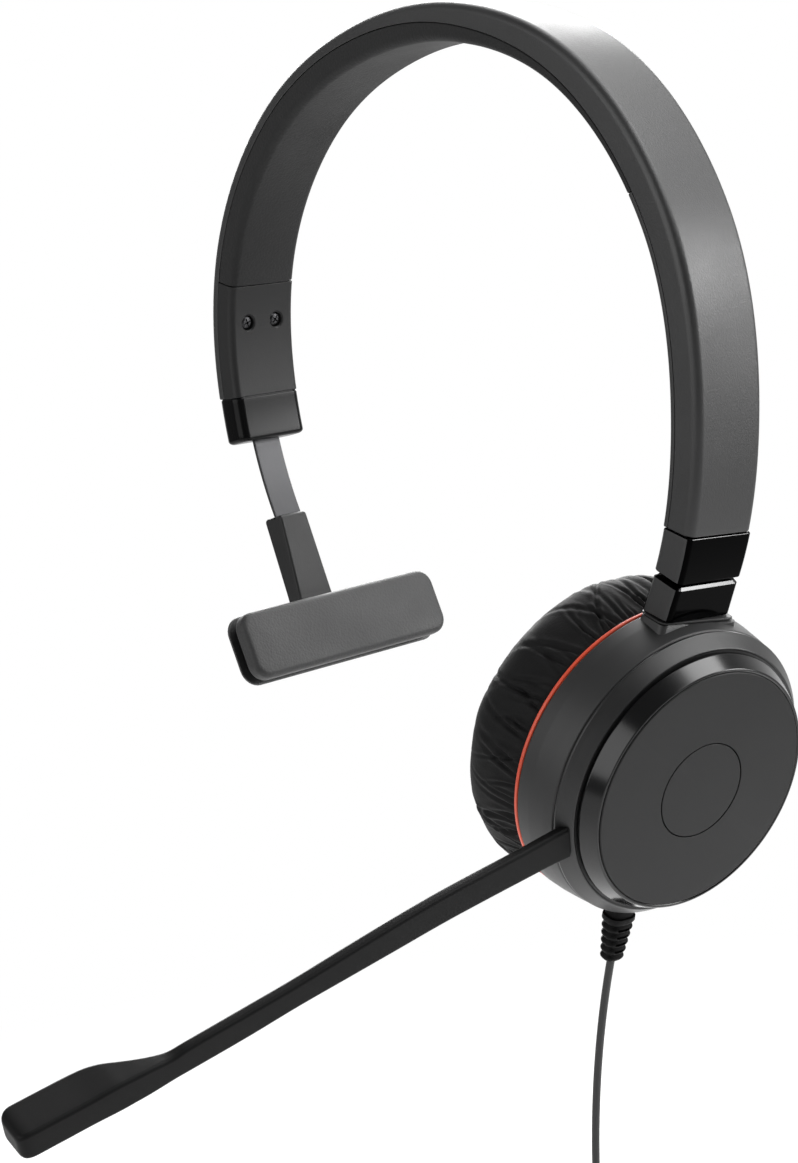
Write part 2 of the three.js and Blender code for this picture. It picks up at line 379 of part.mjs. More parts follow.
add(cordGroup, 'cord_lead', cut(solid(tube(lead, 22)), coilRing(COIL_R0 - 0.3, COIL_R1 + 0.3, COIL_H + 0.6)), 'rubber');
add(cordGroup, 'cord_coil', coilRing(COIL_R0, COIL_R1, COIL_H), 'rubber');
add(cordGroup, 'cord_tail', cut(solid(tube(tail, 8)), coilRing(COIL_R0 - 0.3, COIL_R1 + 0.3, COIL_H + 0.6)), 'rubber');
// tie round the coil's bundle at its left side
add(cordGroup, 'cord_tie', (() => {
  const b = (dx, dy, z) => box(coilC.x - 9.2 - dx, coilC.x - 9.2 + dx, coilC.y - dy, coilC.y + dy, coilC.z - z, coilC.z + z);
  return cut(solid(b(4.6, 4.5, 1.6)), b(3.9, 3.8, 3));
})(), 'rubber');
const PLUG_Z = coilC.z - 21.8;
const atPlug = g => { g.translate(coilC.x, coilC.y, 0); return g; };
add(cordGroup, 'plug_relief', atPlug(lathe([[0, PLUG_Z], [1.3, PLUG_Z], [2.1, PLUG_Z - 7.6], [0, PLUG_Z - 7.6]], 16, true)), 'rubber');
add(cordGroup, 'plug_body', atPlug(lathe([[0, PLUG_Z - 7.9], [3.0, PLUG_Z - 7.9], [3.5, PLUG_Z - 8.8], [3.5, PLUG_Z - 22.8], [3.1, PLUG_Z - 23.4], [0, PLUG_Z - 23.4]], 20, true)), 'shell');
add(cordGroup, 'plug_contact', atPlug(lathe([[0, PLUG_Z - 23.7], [2.6, PLUG_Z - 23.7], [2.6, PLUG_Z - 24.5], [1.75, PLUG_Z - 24.5], [1.75, PLUG_Z - 35.2], [1.2, PLUG_Z - 35.8], [1.7, PLUG_Z - 36.8], [0.6, PLUG_Z - 38.5], [0, PLUG_Z - 38.5]], 18, true)), 'gold');

// every piece in the row frame: the cup group and pad group already carry the crown offset
export default headset;
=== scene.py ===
import json
import math
import random

import bmesh
import bpy
import numpy as np
from mathutils import Matrix, Vector


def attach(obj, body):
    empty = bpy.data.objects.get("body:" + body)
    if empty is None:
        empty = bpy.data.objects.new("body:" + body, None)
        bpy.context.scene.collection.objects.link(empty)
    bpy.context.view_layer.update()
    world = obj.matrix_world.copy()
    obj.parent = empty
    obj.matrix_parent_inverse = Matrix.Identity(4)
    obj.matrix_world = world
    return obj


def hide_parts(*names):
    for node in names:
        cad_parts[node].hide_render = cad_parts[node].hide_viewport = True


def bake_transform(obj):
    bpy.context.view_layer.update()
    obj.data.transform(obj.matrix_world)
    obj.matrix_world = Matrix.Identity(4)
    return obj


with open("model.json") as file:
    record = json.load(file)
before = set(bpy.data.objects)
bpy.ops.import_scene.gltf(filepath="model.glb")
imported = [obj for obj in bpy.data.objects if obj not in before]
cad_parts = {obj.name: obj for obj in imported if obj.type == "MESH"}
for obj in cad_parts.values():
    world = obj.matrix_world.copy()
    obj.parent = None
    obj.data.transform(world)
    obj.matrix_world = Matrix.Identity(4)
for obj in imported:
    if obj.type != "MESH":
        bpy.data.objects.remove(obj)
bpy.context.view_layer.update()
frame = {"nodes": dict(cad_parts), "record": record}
RAD = math.pi / 180

# ------------------------------------------------------------ dimensions (mm)
BAND_W = 17.2
H = BAND_W / 2
CROWN_Z = 52.62
BAND_R = [80.15, 71.55, 67.79, 64.89, 61.09, 60.01, 63.24, 68.01, 72.68, 79.96]
BAND_T = [6.5, 7.29, 6.85]
WALL, LIP, GAP = 1.4, 1.2, 0.3
RIGHT_END, LEFT_END = -31.9, 191.7
PAD_FROM, PAD_TO = 20.9, 170.4
SLIDE_C, SLIDE_R, SLIDE_T, SLIDE_W = (-27.82, -8.02), 94.75, 0.8, 9.0
TBAR_C, TBAR_R, TBAR_T, TBAR_W = (11.85, -9.69), 79.5, 0.8, 6.9
CUP_C = (57.51, -2.71, -87.35 - CROWN_Z)
CUP_DOWN, CUP_YAW = 18.526 * RAD, 6.224 * RAD
DISC_R, RIM_R, RING_R, HOUSING_R, ACCENT_R = 23.65, 26.6, 30.0, 30.2, 30.6
S_RIM, S_RING, S_BACK = -3.4, -6.4, -16.4
HUB_R = 23.9
CUSHION_R, CUSHION_HOLE, S_CUSH0, S_CUSH1 = 30.0, 12.0, -17.75, -33.6
NECK_TOP, PIN_X, PIN_Z = 30.3, 1.55, -13.3
CORD_D = 1.6
SKEW = -0.09
EXIT = (-5.2, -40.6, -10.2)
CORD_TILT, CORD_STRAIGHTENS, CORD_DROP = 18.63 * RAD, 62.0, 60.0
COIL_R0, COIL_R1, COIL_H, COIL_BELOW = 6.0, 12.4, 6.4, 17.0

CUP_A = np.array([math.cos(CUP_DOWN) * math.cos(CUP_YAW), -math.cos(CUP_DOWN) * math.sin(CUP_YAW), -math.sin(CUP_DOWN)])
CUP_UP = np.array([math.sin(CUP_DOWN), 0, math.cos(CUP_DOWN) * math.cos(CUP_YAW)])
CUP_UP /= np.linalg.norm(CUP_UP)
CUP_BACK = np.cross(CUP_UP, CUP_A)
CUP_BACK /= np.linalg.norm(CUP_BACK)
CUP = (np.array([CUP_BACK, CUP_UP, CUP_A]).T, np.array(CUP_C, float))   # axes as columns, and origin
ROW = (np.eye(3), np.zeros(3))
XZ = (np.eye(3), np.array([0, 0, -CROWN_Z]))       # the band's own plane has its centre below the crown
PAD_T = -20.64 * RAD                               # the T-bar pad's face is turned about Y
PAD_TWIST = 1.0 * RAD                              # and the pad sits a little askew on its stem
PADF = (np.array([[math.cos(PAD_T), 0, math.sin(PAD_T)], [0, 1, 0], [-math.sin(PAD_T), 0, math.cos(PAD_T)]])
        @ np.array([[1, 0, 0], [0, math.cos(PAD_TWIST), -math.sin(PAD_TWIST)], [0, math.sin(PAD_TWIST), math.cos(PAD_TWIST)]]),
        np.array([-44.54, 0.5, -63.55 - CROWN_Z]))


def place(pts, axes):
    return np.asarray(pts, float) @ axes[0].T + axes[1]


# ------------------------------------------------------------------- band curve
def band_r(phi):
    u = (phi + 45) / 30
    i = min(8, max(0, math.floor(u)))
    f = u - i
    k = lambda j: BAND_R[min(9, max(0, j))]
    p0 = 2 * k(0) - k(1) if i == 0 else k(i - 1)
    p1, p2 = k(i), k(i + 1)
    p3 = 2 * k(9) - k(8) if i == 8 else k(i + 2)
    return 0.5 * (2 * p1 + (p2 - p0) * f + (2 * p0 - 5 * p1 + 4 * p2 - p3) * f * f + (3 * p1 - p0 - 3 * p2 + p3) * f ** 3)


def band_pt(phi, t):
    c = lambda q: np.array([band_r(q) * math.cos(q * RAD), band_r(q) * math.sin(q * RAD)])
    d = c(phi + 0.5) - c(phi - 0.5)
    d /= np.linalg.norm(d)
    return c(phi) + t * np.array([-d[1], d[0]])


def band_t(phi):
    if phi < 90:
        return BAND_T[0] + (BAND_T[1] - BAND_T[0]) * (phi + 45) / 135
    return BAND_T[1] + (BAND_T[2] - BAND_T[1]) * (phi - 90) / 135


def seam(phi):
    s = min(1, max(0, (phi - 25) / 95))
    return band_t(phi) * (0.82 - 0.50 * s * s * (3 - 2 * s))


# ------------------------------------------------------------- mesh making
def make(name, verts, faces, material, sharp=38, weighted=True):
    """A mesh object from points in mm in the row frame; faces are index lists."""
    me = bpy.data.meshes.new(name)
    me.from_pydata([tuple(v) for v in np.asarray(verts, float) * 0.001], [], [list(f) for f in faces])
    o = bpy.data.objects.new(name, me)
    bpy.context.scene.collection.objects.link(o)
    return finish_mesh(o, material, sharp, weighted)


def finish_mesh(o, material, sharp=38, weighted=True):
    bm = bmesh.new()
    bm.from_mesh(o.data)
    bmesh.ops.remove_doubles(bm, verts=bm.verts, dist=2e-7)
    bmesh.ops.recalc_face_normals(bm, faces=bm.faces)
    for f in bm.faces:
        f.smooth = True
    for e in bm.edges:
        if len(e.link_faces) == 2:
            e.smooth = e.calc_face_angle(0) < sharp * RAD
    bm.to_mesh(o.data)
    bm.free()
    if material is not None:
        o.data.materials.clear()
        o.data.materials.append(material)
    if weighted and not any(m.type == "WEIGHTED_NORMAL" for m in o.modifiers):
        w = o.modifiers.new("normals", "WEIGHTED_NORMAL")
        w.keep_sharp = True
        w.mode = "FACE_AREA"
        w.weight = 60
    return o


def rings(loops, closed_ends=True, around=False):
    """Quads between loops of the same number of points; the ends are filled."""
    n = len(loops[0])
    verts = np.concatenate([np.asarray(l, float) for l in loops])
    faces = []
    m = len(loops)
    for i in range(m if around else m - 1):
        a, b = i * n, ((i + 1) % m) * n
        for j in range(n):
            k = (j + 1) % n
            faces.append((a + j, a + k, b + k, b + j))
    if closed_ends and not around:
        faces.append(tuple(range(n))[::-1])
        faces.append(tuple(range((m - 1) * n, m * n)))
    return verts, faces


def join_parts(parts):
    verts, faces, at = [], [], 0
    for v, f in parts:
        verts.append(np.asarray(v, float))
        faces += [tuple(i + at for i in q) for q in f]
        at += len(v)
    return np.concatenate(verts), faces


def round_poly(pts, radii, n=4):
    """A closed outline with each corner rounded to its own radius; every corner gives n+1 points."""
    out, m = [], len(pts)
    for i in range(m):
        p, a, b = (np.array(pts[k % m], float) for k in (i, i - 1, i + 1))
        r = radii[i] if hasattr(radii, "__len__") else radii
        u, v = a - p, b - p
        lu, lv = np.linalg.norm(u), np.linalg.norm(v)
        u, v = u / lu, v / lv
        ang = math.acos(max(-1, min(1, u @ v)))
        if r <= 0 or ang > math.pi - 0.02:
            out += [p] * (n + 1)
            continue
        back = min(r / math.tan(ang / 2), 0.49 * lu, 0.49 * lv)
        rr = back * math.tan(ang / 2)
        mid = (u + v) / np.linalg.norm(u + v)
        c = p + mid * rr / math.sin(ang / 2)
        s, e = p + u * back - c, p + v * back - c
        turn = math.atan2(s[0] * e[1] - s[1] * e[0], s @ e)
        for k in range(n + 1):
            t = turn * k / n
            out.append(c + np.array([s[0] * math.cos(t) - s[1] * math.sin(t), s[0] * math.sin(t) + s[1] * math.cos(t)]))
    return np.array(out)


def inset(pts, d):
    """The closed outline moved inwards by d (mitred)."""
    p = np.asarray(pts, float)
    area = 0.5 * np.sum(p[:, 0] * np.roll(p[:, 1], -1) - np.roll(p[:, 0], -1) * p[:, 1])
    q = p if area > 0 else p[::-1]
    keep = np.linalg.norm(q - np.roll(q, 1, axis=0), axis=1) > 1e-6
    a = q - np.roll(q, 1, axis=0)
    b = np.roll(q, -1, axis=0) - q
    for arr, back in ((a, 1), (b, -1)):            # a repeated point takes its neighbour's direction
        for _ in range(len(arr)):
            bad = np.linalg.norm(arr, axis=1) < 1e-6
            if not bad.any():
                break
            arr[bad] = np.roll(arr, back, axis=0)[bad]
    a /= np.linalg.norm(a, axis=1)[:, None]
    b /= np.linalg.norm(b, axis=1)[:, None]
    na, nb = np.stack([-a[:, 1], a[:, 0]], 1), np.stack([-b[:, 1], b[:, 0]], 1)
    m = na + nb
    m /= np.maximum((m * na).sum(1), 0.35)[:, None]
    out = q + m * d
    return out if area > 0 else out[::-1]


def prism(outline, h0, h1, r0, r1=None, n=4, axes=ROW, plane="xy"):
    """A flat outline given thickness from h0 to h1, with its rims rounded."""
    r1 = r0 if r1 is None else r1
    loops = []
    put = {"xy": lambda p, h: np.column_stack([p, np.full(len(p), h)]),
           "xz": lambda p, h: np.column_stack([p[:, 0], np.full(len(p), h), p[:, 1]]),
           "yz": lambda p, h: np.column_stack([np.full(len(p), h), p])}[plane]
    for k in range(n + 1):
        t = math.pi / 2 * k / n
        loops.append(put(inset(outline, r0 * (1 - math.sin(t))) if r0 else np.asarray(outline, float), h0 + r0 * (1 - math.cos(t))))
    for k in range(n + 1):
        t = math.pi / 2 * (1 - k / n)
        loops.append(put(inset(outline, r1 * (1 - math.sin(t))) if r1 else np.asarray(outline, float), h1 - r1 * (1 - math.cos(t))))
    v, f = rings(loops)
    return place(v, axes), f


def turned(profile, seg=128, axes=ROW, around=True, arc=(0, 360)):
    """A closed (radius, height) profile turned about the third axis."""
    p = np.asarray(profile, float)
    loops = []
    for i in range(seg):
        a = arc[0] * RAD + (arc[1] - arc[0]) * RAD * i / seg
        loops.append(np.column_stack([p[:, 0] * math.cos(a), p[:, 0] * math.sin(a), p[:, 1]]))
    v, f = rings(loops, around=around)
    return place(v, axes), f


def lathe(name, corners, radii, material, seg=144, axes=CUP, n=5, sharp=38):
    return make(name, *turned(round_poly(corners, radii, n), seg, axes), material, sharp)


def loft_band(stations, section):
    """Sweeps a (y, t) section along the band: a station is (outer x, z, inner x, z, inset)."""
    loops = []
    for ox, oz, ix, iz, d in stations:
        o, i = np.array([ox, oz]), np.array([ix, iz])
        T = np.linalg.norm(i - o)
        s = section(T, d)
        e = (i - o) / T
        xz = o + (i - o) * (s[:, 1:2] / T) + SKEW * s[:, :1] * np.array([e[1], -e[0]])
        loops.append(np.column_stack([xz[:, 0], s[:, 0], xz[:, 1] - CROWN_Z]))
    return rings(loops)


def end_skew(phi):
    """The right side's lower end is drawn down a little towards the back: shift along the band per mm of width."""
    s = min(1, max(0, (14 - phi) / 40))
    return SKEW * s * s * (3 - 2 * s)


def along_band(p0, p1, section, step=1.5, r=0.25, depth=band_t, n=3):
    """Stations along the band, with their end rims rounded by r; section(phi, T, d)."""
    m = max(2, math.ceil(abs(p1 - p0) / step))
    loops = []
    per = lambda phi: 1 / (band_r(phi) * RAD)       # degrees per mm
    phis = []
    sgn = 1 if p1 > p0 else -1
    for k in range(n):
        t = math.pi / 2 * k / n
        phis.append((p0 + sgn * r * (1 - math.cos(t)) * per(p0), r * (1 - math.sin(t))))
    for k in range(m + 1):
        a, b = p0 + sgn * r * per(p0), p1 - sgn * r * per(p1)
        phis.append((a + (b - a) * k / m, 0))
    for k in range(n):
        t = math.pi / 2 * (1 - (k + 1) / n)
        phis.append((p1 - sgn * r * (1 - math.cos(t)) * per(p1), r * (1 - math.sin(t))))
    for phi, d in phis:
        s = section(phi, depth(phi), d)
        c0, c1 = band_pt(phi, 0), band_pt(phi, 1)
        xz = c0 + (c1 - c0) * s[:, 1:2] + end_skew(phi) * s[:, :1] * np.array([(c1 - c0)[1], -(c1 - c0)[0]])
        loops.append(np.column_stack([xz[:, 0], s[:, 0], xz[:, 1] - CROWN_Z]))
    return rings(loops)


def arc_slab(c, r0, r1, a0, a1, y0, y1, step=1.0, bevel=0.0):
    m = max(2, math.ceil(abs(a1 - a0) / step))
    loops = []
    for k in range(m + 1):
        t = (a0 + (a1 - a0) * k / m) * RAD
        sec = round_poly([(y0, r0), (y1, r0), (y1, r1), (y0, r1)], bevel, 2)
        loops.append(np.column_stack([c[0] + sec[:, 1] * math.cos(t), sec[:, 0], c[1] + sec[:, 1] * math.sin(t) - CROWN_Z]))
    return rings(loops)


def box_mesh(x0, x1, y0, y1, z0, z1, axes=ROW):
    v = [(x, y, z) for x in (x0, x1) for y in (y0, y1) for z in (z0, z1)]
    f = [(0, 1, 3, 2), (4, 6, 7, 5), (0, 4, 5, 1), (2, 3, 7, 6), (0, 2, 6, 4), (1, 5, 7, 3)]
    return place(v, axes), f


def boolean(o, meshes, operation="DIFFERENCE", material=None, sharp=38):
    """Cuts, joins or intersects o with closed meshes, each (verts, faces) in mm, and keeps the result."""
    for v, f in meshes:
        t = make("tool", v, f, None, weighted=False)
        m = o.modifiers.new("b", "BOOLEAN")
        m.operation, m.object, m.solver = operation, t, "EXACT"
        while o.modifiers[0] != m:
            o.modifiers.move(o.modifiers.find(m.name), 0)
        bpy.context.view_layer.update()
        dg = bpy.context.evaluated_depsgraph_get()
        for x in o.modifiers:
            x.show_viewport = x == m
        bpy.context.view_layer.update()
        new = bpy.data.meshes.new_from_object(o.evaluated_get(bpy.context.evaluated_depsgraph_get()))
        old = o.data
        o.modifiers.remove(m)
        for x in o.modifiers:
            x.show_viewport = True
        o.data = new
        bpy.data.meshes.remove(old)
        tm = t.data
        bpy.data.objects.remove(t)
        bpy.data.meshes.remove(tm)
    return finish_mesh(o, material or (o.data.materials[0] if o.data.materials else None), sharp)


def smooth_line(pts, n, closed=False):
    """Centripetal Catmull-Rom through the points, n points in all, evenly spaced."""
    p = np.asarray(pts, float)
    if closed:
        q = np.concatenate([p[-2:], p, p[:3]])
        spans = range(2, 2 + len(p))
    else:
        q = np.concatenate([[2 * p[0] - p[1]], p, [2 * p[-1] - p[-2]]])
        spans = range(1, len(p))
    out = []
    for i in spans:
        p0, p1, p2, p3 = q[i - 1], q[i], q[i + 1], q[i + 2]
        t0 = 0
        t1 = t0 + max(np.linalg.norm(p1 - p0), 1e-9) ** 0.5
        t2 = t1 + max(np.linalg.norm(p2 - p1), 1e-9) ** 0.5
        t3 = t2 + max(np.linalg.norm(p3 - p2), 1e-9) ** 0.5
        for t in np.linspace(t1, t2, 12, endpoint=False):
            a1 = (t1 - t) / (t1 - t0) * p0 + (t - t0) / (t1 - t0) * p1
            a2 = (t2 - t) / (t2 - t1) * p1 + (t - t1) / (t2 - t1) * p2
            a3 = (t3 - t) / (t3 - t2) * p2 + (t - t2) / (t3 - t2) * p3
            b1 = (t2 - t) / (t2 - t0) * a1 + (t - t0) / (t2 - t0) * a2
            b2 = (t3 - t) / (t3 - t1) * a2 + (t - t1) / (t3 - t1) * a3
            out.append((t2 - t) / (t2 - t1) * b1 + (t - t1) / (t2 - t1) * b2)
    out.append(p[0] if closed else p[-1])
    out = np.array(out)
    s = np.concatenate([[0], np.cumsum(np.linalg.norm(np.diff(out, axis=0), axis=1))])
    at = np.linspace(0, s[-1], n + 1 if closed else n)
    r = np.stack([np.interp(at, s, out[:, k]) for k in range(out.shape[1])], axis=1)
    return r[:-1] if closed else r


DONE = {}


def piece(o, body, slot, *nodes):
    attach(o, body)
    if nodes:
        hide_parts(*nodes)
    DONE[o.name] = o
    return o


# ------------------------------------------------------------------ materials
def material(name, base, rough, *, metal=0.0, spec=0.5, coat=0.0, coat_rough=0.05, sheen=0.0, tone=0.0, tone_scale=60.0,
             rough_vary=0.0, grain=None, grain2=None, aniso=0.0, stretch=None, edge=None):
    """A node material. grain is (kind, cells per mm, height in mm, strength); positions are the object's own, in mm."""
    m = bpy.data.materials.new(name)
    m.use_nodes = True
    nt = m.node_tree
    N, L = nt.nodes, nt.links
    bsdf = N["Principled BSDF"]
    bsdf.inputs["Base Color"].default_value = (*base, 1)
    bsdf.inputs["Roughness"].default_value = rough
    bsdf.inputs["Metallic"].default_value = metal
    bsdf.inputs["Specular IOR Level"].default_value = spec
    bsdf.inputs["Coat Weight"].default_value = coat
    bsdf.inputs["Coat Roughness"].default_value = coat_rough
    bsdf.inputs["Sheen Weight"].default_value = sheen
    bsdf.inputs["Sheen Roughness"].default_value = 0.5
    bsdf.inputs["Anisotropic"].default_value = aniso
    co = N.new("ShaderNodeTexCoord")
    mm = N.new("ShaderNodeMapping")
    s = stretch or (1, 1, 1)
    mm.inputs["Scale"].default_value = tuple(1000 * k for k in s)
    L.new(co.outputs["Object"], mm.inputs["Vector"])

    def noise(scale, detail=3.0, r=0.55):
        n = N.new("ShaderNodeTexNoise")
        n.inputs["Scale"].default_value = scale
        n.inputs["Detail"].default_value = detail
        n.inputs["Roughness"].default_value = r
        L.new(mm.outputs["Vector"], n.inputs["Vector"])
        return n

    broad = noise(1.0 / tone_scale, 4.0)
    fine = noise(2.2, 2.0)
    mix = N.new("ShaderNodeMath")
    mix.operation = "MULTIPLY_ADD"
    L.new(fine.outputs["Fac"], mix.inputs[0])
    mix.inputs[1].default_value = 0.35
    L.new(broad.outputs["Fac"], mix.inputs[2])
    if tone:
        ramp = N.new("ShaderNodeMapRange")
        ramp.inputs["From Min"].default_value, ramp.inputs["From Max"].default_value = 0.4, 0.95
        ramp.inputs["To Min"].default_value, ramp.inputs["To Max"].default_value = 1 - tone, 1 + tone
        L.new(mix.outputs[0], ramp.inputs["Value"])
        col = N.new("ShaderNodeVectorMath")
        col.operation = "SCALE"
        col.inputs[0].default_value = base
        L.new(ramp.outputs["Result"], col.inputs["Scale"])
        out = col.outputs["Vector"]
        if edge:                                     # slightly paler convex edges, picked out by pointiness
            g = N.new("ShaderNodeNewGeometry")
            pr = N.new("ShaderNodeMapRange")
            pr.inputs["From Min"].default_value, pr.inputs["From Max"].default_value = 0.52, 0.62
            L.new(g.outputs["Pointiness"], pr.inputs["Value"])
            mx = N.new("ShaderNodeMix")
            mx.data_type = "RGBA"
            L.new(pr.outputs["Result"], mx.inputs["Factor"])
            L.new(out, mx.inputs["A"])
            mx.inputs["B"].default_value = (*[c * edge for c in base], 1)
            out = mx.outputs["Result"]
        L.new(out, bsdf.inputs["Base Color"])
    if rough_vary:
        rr = N.new("ShaderNodeMapRange")
        rr.inputs["From Min"].default_value, rr.inputs["From Max"].default_value = 0.4, 0.95
        rr.inputs["To Min"].default_value = max(0.0, rough - rough_vary)
        rr.inputs["To Max"].default_value = min(1.0, rough + rough_vary)
        L.new(mix.outputs[0], rr.inputs["Value"])
        L.new(rr.outputs["Result"], bsdf.inputs["Roughness"])
    normal = None
    for g in (grain, grain2):
        if not g:
            continue
        kind, per_mm, height, strength = g
        if kind == "noise":
            h = noise(per_mm, 3.0, 0.6).outputs["Fac"]
        elif kind == "leather":                      # rounded cells with creases between them
            w = noise(per_mm * 0.55, 2.0)
            add = N.new("ShaderNodeVectorMath")
            add.operation = "MULTIPLY_ADD"
            L.new(w.outputs["Color"], add.inputs[0])
            add.inputs[1].default_value = (0.6 / per_mm,) * 3
            L.new(mm.outputs["Vector"], add.inputs[2])
            v = N.new("ShaderNodeTexVoronoi")
            v.feature = "SMOOTH_F1"
            v.inputs["Scale"].default_value = per_mm
            v.inputs["Smoothness"].default_value = 0.35
            v.inputs["Randomness"].default_value = 1.0
            L.new(add.outputs["Vector"], v.inputs["Vector"])
            inv = N.new("ShaderNodeMath")
            inv.operation = "SUBTRACT"
            inv.inputs[0].default_value = 1.0
            L.new(v.outputs["Distance"], inv.inputs[1])
            h = inv.outputs[0]
        elif kind == "weave":
            sep = N.new("ShaderNodeSeparateXYZ")
            L.new(mm.outputs["Vector"], sep.inputs["Vector"])
            waves = []
            for k in ("X", "Y", "Z"):
                a = N.new("ShaderNodeMath")
                a.operation = "MULTIPLY"
                a.inputs[1].default_value = per_mm * math.pi
                L.new(sep.outputs[k], a.inputs[0])
                b = N.new("ShaderNodeMath")
                b.operation = "SINE"
                L.new(a.outputs[0], b.inputs[0])
                waves.append(b)
            p = N.new("ShaderNodeMath")
            p.operation = "MULTIPLY"
            L.new(waves[1].outputs[0], p.inputs[0])
            L.new(waves[2].outputs[0], p.inputs[1])
            q = N.new("ShaderNodeMath")
            q.operation = "MULTIPLY_ADD"
            L.new(waves[0].outputs[0], q.inputs[0])
            q.inputs[1].default_value = 0.3
            L.new(p.outputs[0], q.inputs[2])
            h = q.outputs[0]
        b = N.new("ShaderNodeBump")
        b.inputs["Strength"].default_value = strength
        b.inputs["Distance"].default_value = height * 0.001
        L.new(h, b.inputs["Height"])
        if normal is not None:
            L.new(normal, b.inputs["Normal"])
        normal = b.outputs["Normal"]
    if normal is not None:
        L.new(normal, bsdf.inputs["Normal"])
    return m


M = {
    "matte_shell": material("matte_shell", (0.016, 0.016, 0.0163), 0.44, spec=0.50, tone=0.16, tone_scale=35, rough_vary=0.09, grain=("noise", 2.6, 0.05, 0.75), edge=1.25),
    "disc_plastic": material("disc_plastic", (0.0055, 0.0055, 0.0057), 0.50, spec=0.30, tone=0.06, tone_scale=30, rough_vary=0.04, grain=("noise", 5.0, 0.012, 0.5), edge=1.2),
    "ring_plastic": material("ring_plastic", (0.0055, 0.0055, 0.0057), 0.40, spec=0.50, tone=0.06, tone_scale=30, rough_vary=0.04, grain=("noise", 5.0, 0.012, 0.5), edge=1.2),
    "cord_rubber": material("cord_rubber", (0.010, 0.010, 0.0102), 0.45, spec=0.45, tone=0.12, tone_scale=12, rough_vary=0.06, grain=("noise", 3.0, 0.02, 0.5)),
    "cup_plastic": material("cup_plastic", (0.016, 0.016, 0.0163), 0.48, spec=0.40, tone=0.06, tone_scale=30, rough_vary=0.04, grain=("noise", 5.0, 0.012, 0.5), edge=1.2),
    "boom_plastic": material("boom_plastic", (0.003, 0.003, 0.0031), 0.46, spec=0.12, tone=0.08, tone_scale=25, rough_vary=0.05, grain=("noise", 4.0, 0.02, 0.5), edge=1.3),
    "gloss_black": material("gloss_black", (0.0020, 0.0020, 0.0022), 0.09, spec=0.09, tone=0.2, tone_scale=20, rough_vary=0.02, grain=("noise", 0.05, 0.12, 0.04)),
    "gloss_deep": material("gloss_deep", (0.0005, 0.0005, 0.0006), 0.10, spec=0.015, tone=0.2, tone_scale=20, rough_vary=0.02, grain=("noise", 0.05, 0.12, 0.04)),
    "gloss_left": material("gloss_left", (0.0022, 0.0022, 0.0024), 0.24, spec=0.11, tone=0.2, tone_scale=20, rough_vary=0.02, grain=("noise", 0.05, 0.12, 0.04)),
    "gloss_rim": material("gloss_rim", (0.0030, 0.0030, 0.0032), 0.17, spec=0.42, tone=0.2, tone_scale=20, rough_vary=0.02, grain=("noise", 0.05, 0.12, 0.04)),
    "matte_inner": material("matte_inner", (0.011, 0.011, 0.0112), 0.46, spec=0.26, tone=0.10, tone_scale=35, rough_vary=0.06, grain=("noise", 2.1, 0.035, 0.45), edge=1.25),
    "lining": material("lining", (0.009, 0.009, 0.0092), 0.60, spec=0.26, sheen=0.03, tone=0.12, tone_scale=14, rough_vary=0.07, grain=("leather", 1.9, 0.09, 0.55), grain2=("noise", 6.0, 0.012, 0.4)),
    "leatherette": material("leatherette", (0.0165, 0.0165, 0.0168), 0.58, spec=0.45, sheen=0.04, tone=0.12, tone_scale=14, rough_vary=0.07, grain=("leather", 1.9, 0.09, 0.55), grain2=("noise", 6.0, 0.012, 0.4)),
    "pleated_leatherette": material("pleated_leatherette", (0.0048, 0.0048, 0.005), 0.68, spec=0.14, sheen=0.03, tone=0.15, tone_scale=9, rough_vary=0.08, grain=("leather", 2.4, 0.05, 0.5), grain2=("noise", 0.8, 0.12, 0.25)),
    "strip_steel": material("strip_steel", (0.046, 0.046, 0.0475), 0.42, metal=1.0, tone=0.10, tone_scale=8, rough_vary=0.05, stretch=(0.12, 1.0, 0.12), grain=("noise", 9.0, 0.012, 0.35)),
    "screw_steel": material("screw_steel", (0.05, 0.05, 0.052), 0.32, metal=1.0, tone=0.15, tone_scale=3, rough_vary=0.08, grain=("noise", 5.0, 0.01, 0.4)),
    "black_rubber": material("black_rubber", (0.0018, 0.0018, 0.0018), 0.55, spec=0.10, tone=0.12, tone_scale=12, rough_vary=0.06, grain=("noise", 3.0, 0.02, 0.5)),
    "foam": material("foam", (0.02, 0.02, 0.021), 0.95, spec=0.2, tone=0.25, tone_scale=1.5, grain=("leather", 3.0, 0.25, 0.9)),
    "accent_red": material("accent_red", (0.60, 0.070, 0.030), 0.38, spec=0.5, tone=0.06, tone_scale=12, rough_vary=0.05, grain=("noise", 4.0, 0.01, 0.4)),
    "speaker_parts": material("speaker_parts", (0.045, 0.045, 0.05), 0.6, tone=0.1, tone_scale=8, grain=("noise", 3.0, 0.03, 0.6)),
    "magnet_steel": material("magnet_steel", (0.42, 0.42, 0.43), 0.3, metal=1.0, tone=0.08, tone_scale=6, rough_vary=0.06, grain=("noise", 4.0, 0.01, 0.4)),
    "circuit_green": material("circuit_green", (0.02, 0.12, 0.05), 0.35, tone=0.25, tone_scale=3, rough_vary=0.1, grain=("weave", 3.0, 0.02, 0.5)),
    "acoustic_fabric": material("acoustic_fabric", (0.016, 0.016, 0.017), 0.85, spec=0.3, sheen=0.15, tone=0.2, tone_scale=3, grain=("weave", 2.0, 0.14, 0.9), grain2=("noise", 5.0, 0.03, 0.6)),
    "plug_gold": material("plug_gold", (0.78, 0.55, 0.22), 0.22, metal=1.0, tone=0.05, tone_scale=4, rough_vary=0.05, grain=("noise", 3.0, 0.008, 0.4)),
    "plug_band": material("plug_band", (0.012, 0.012, 0.012), 0.3, tone=0.1, tone_scale=4, rough_vary=0.05, grain=("noise", 3.0, 0.01, 0.4)),
}
SLOT_FOR_NODE = {s["node"]: s["material_slot"] for s in frame["record"]["subparts"]}
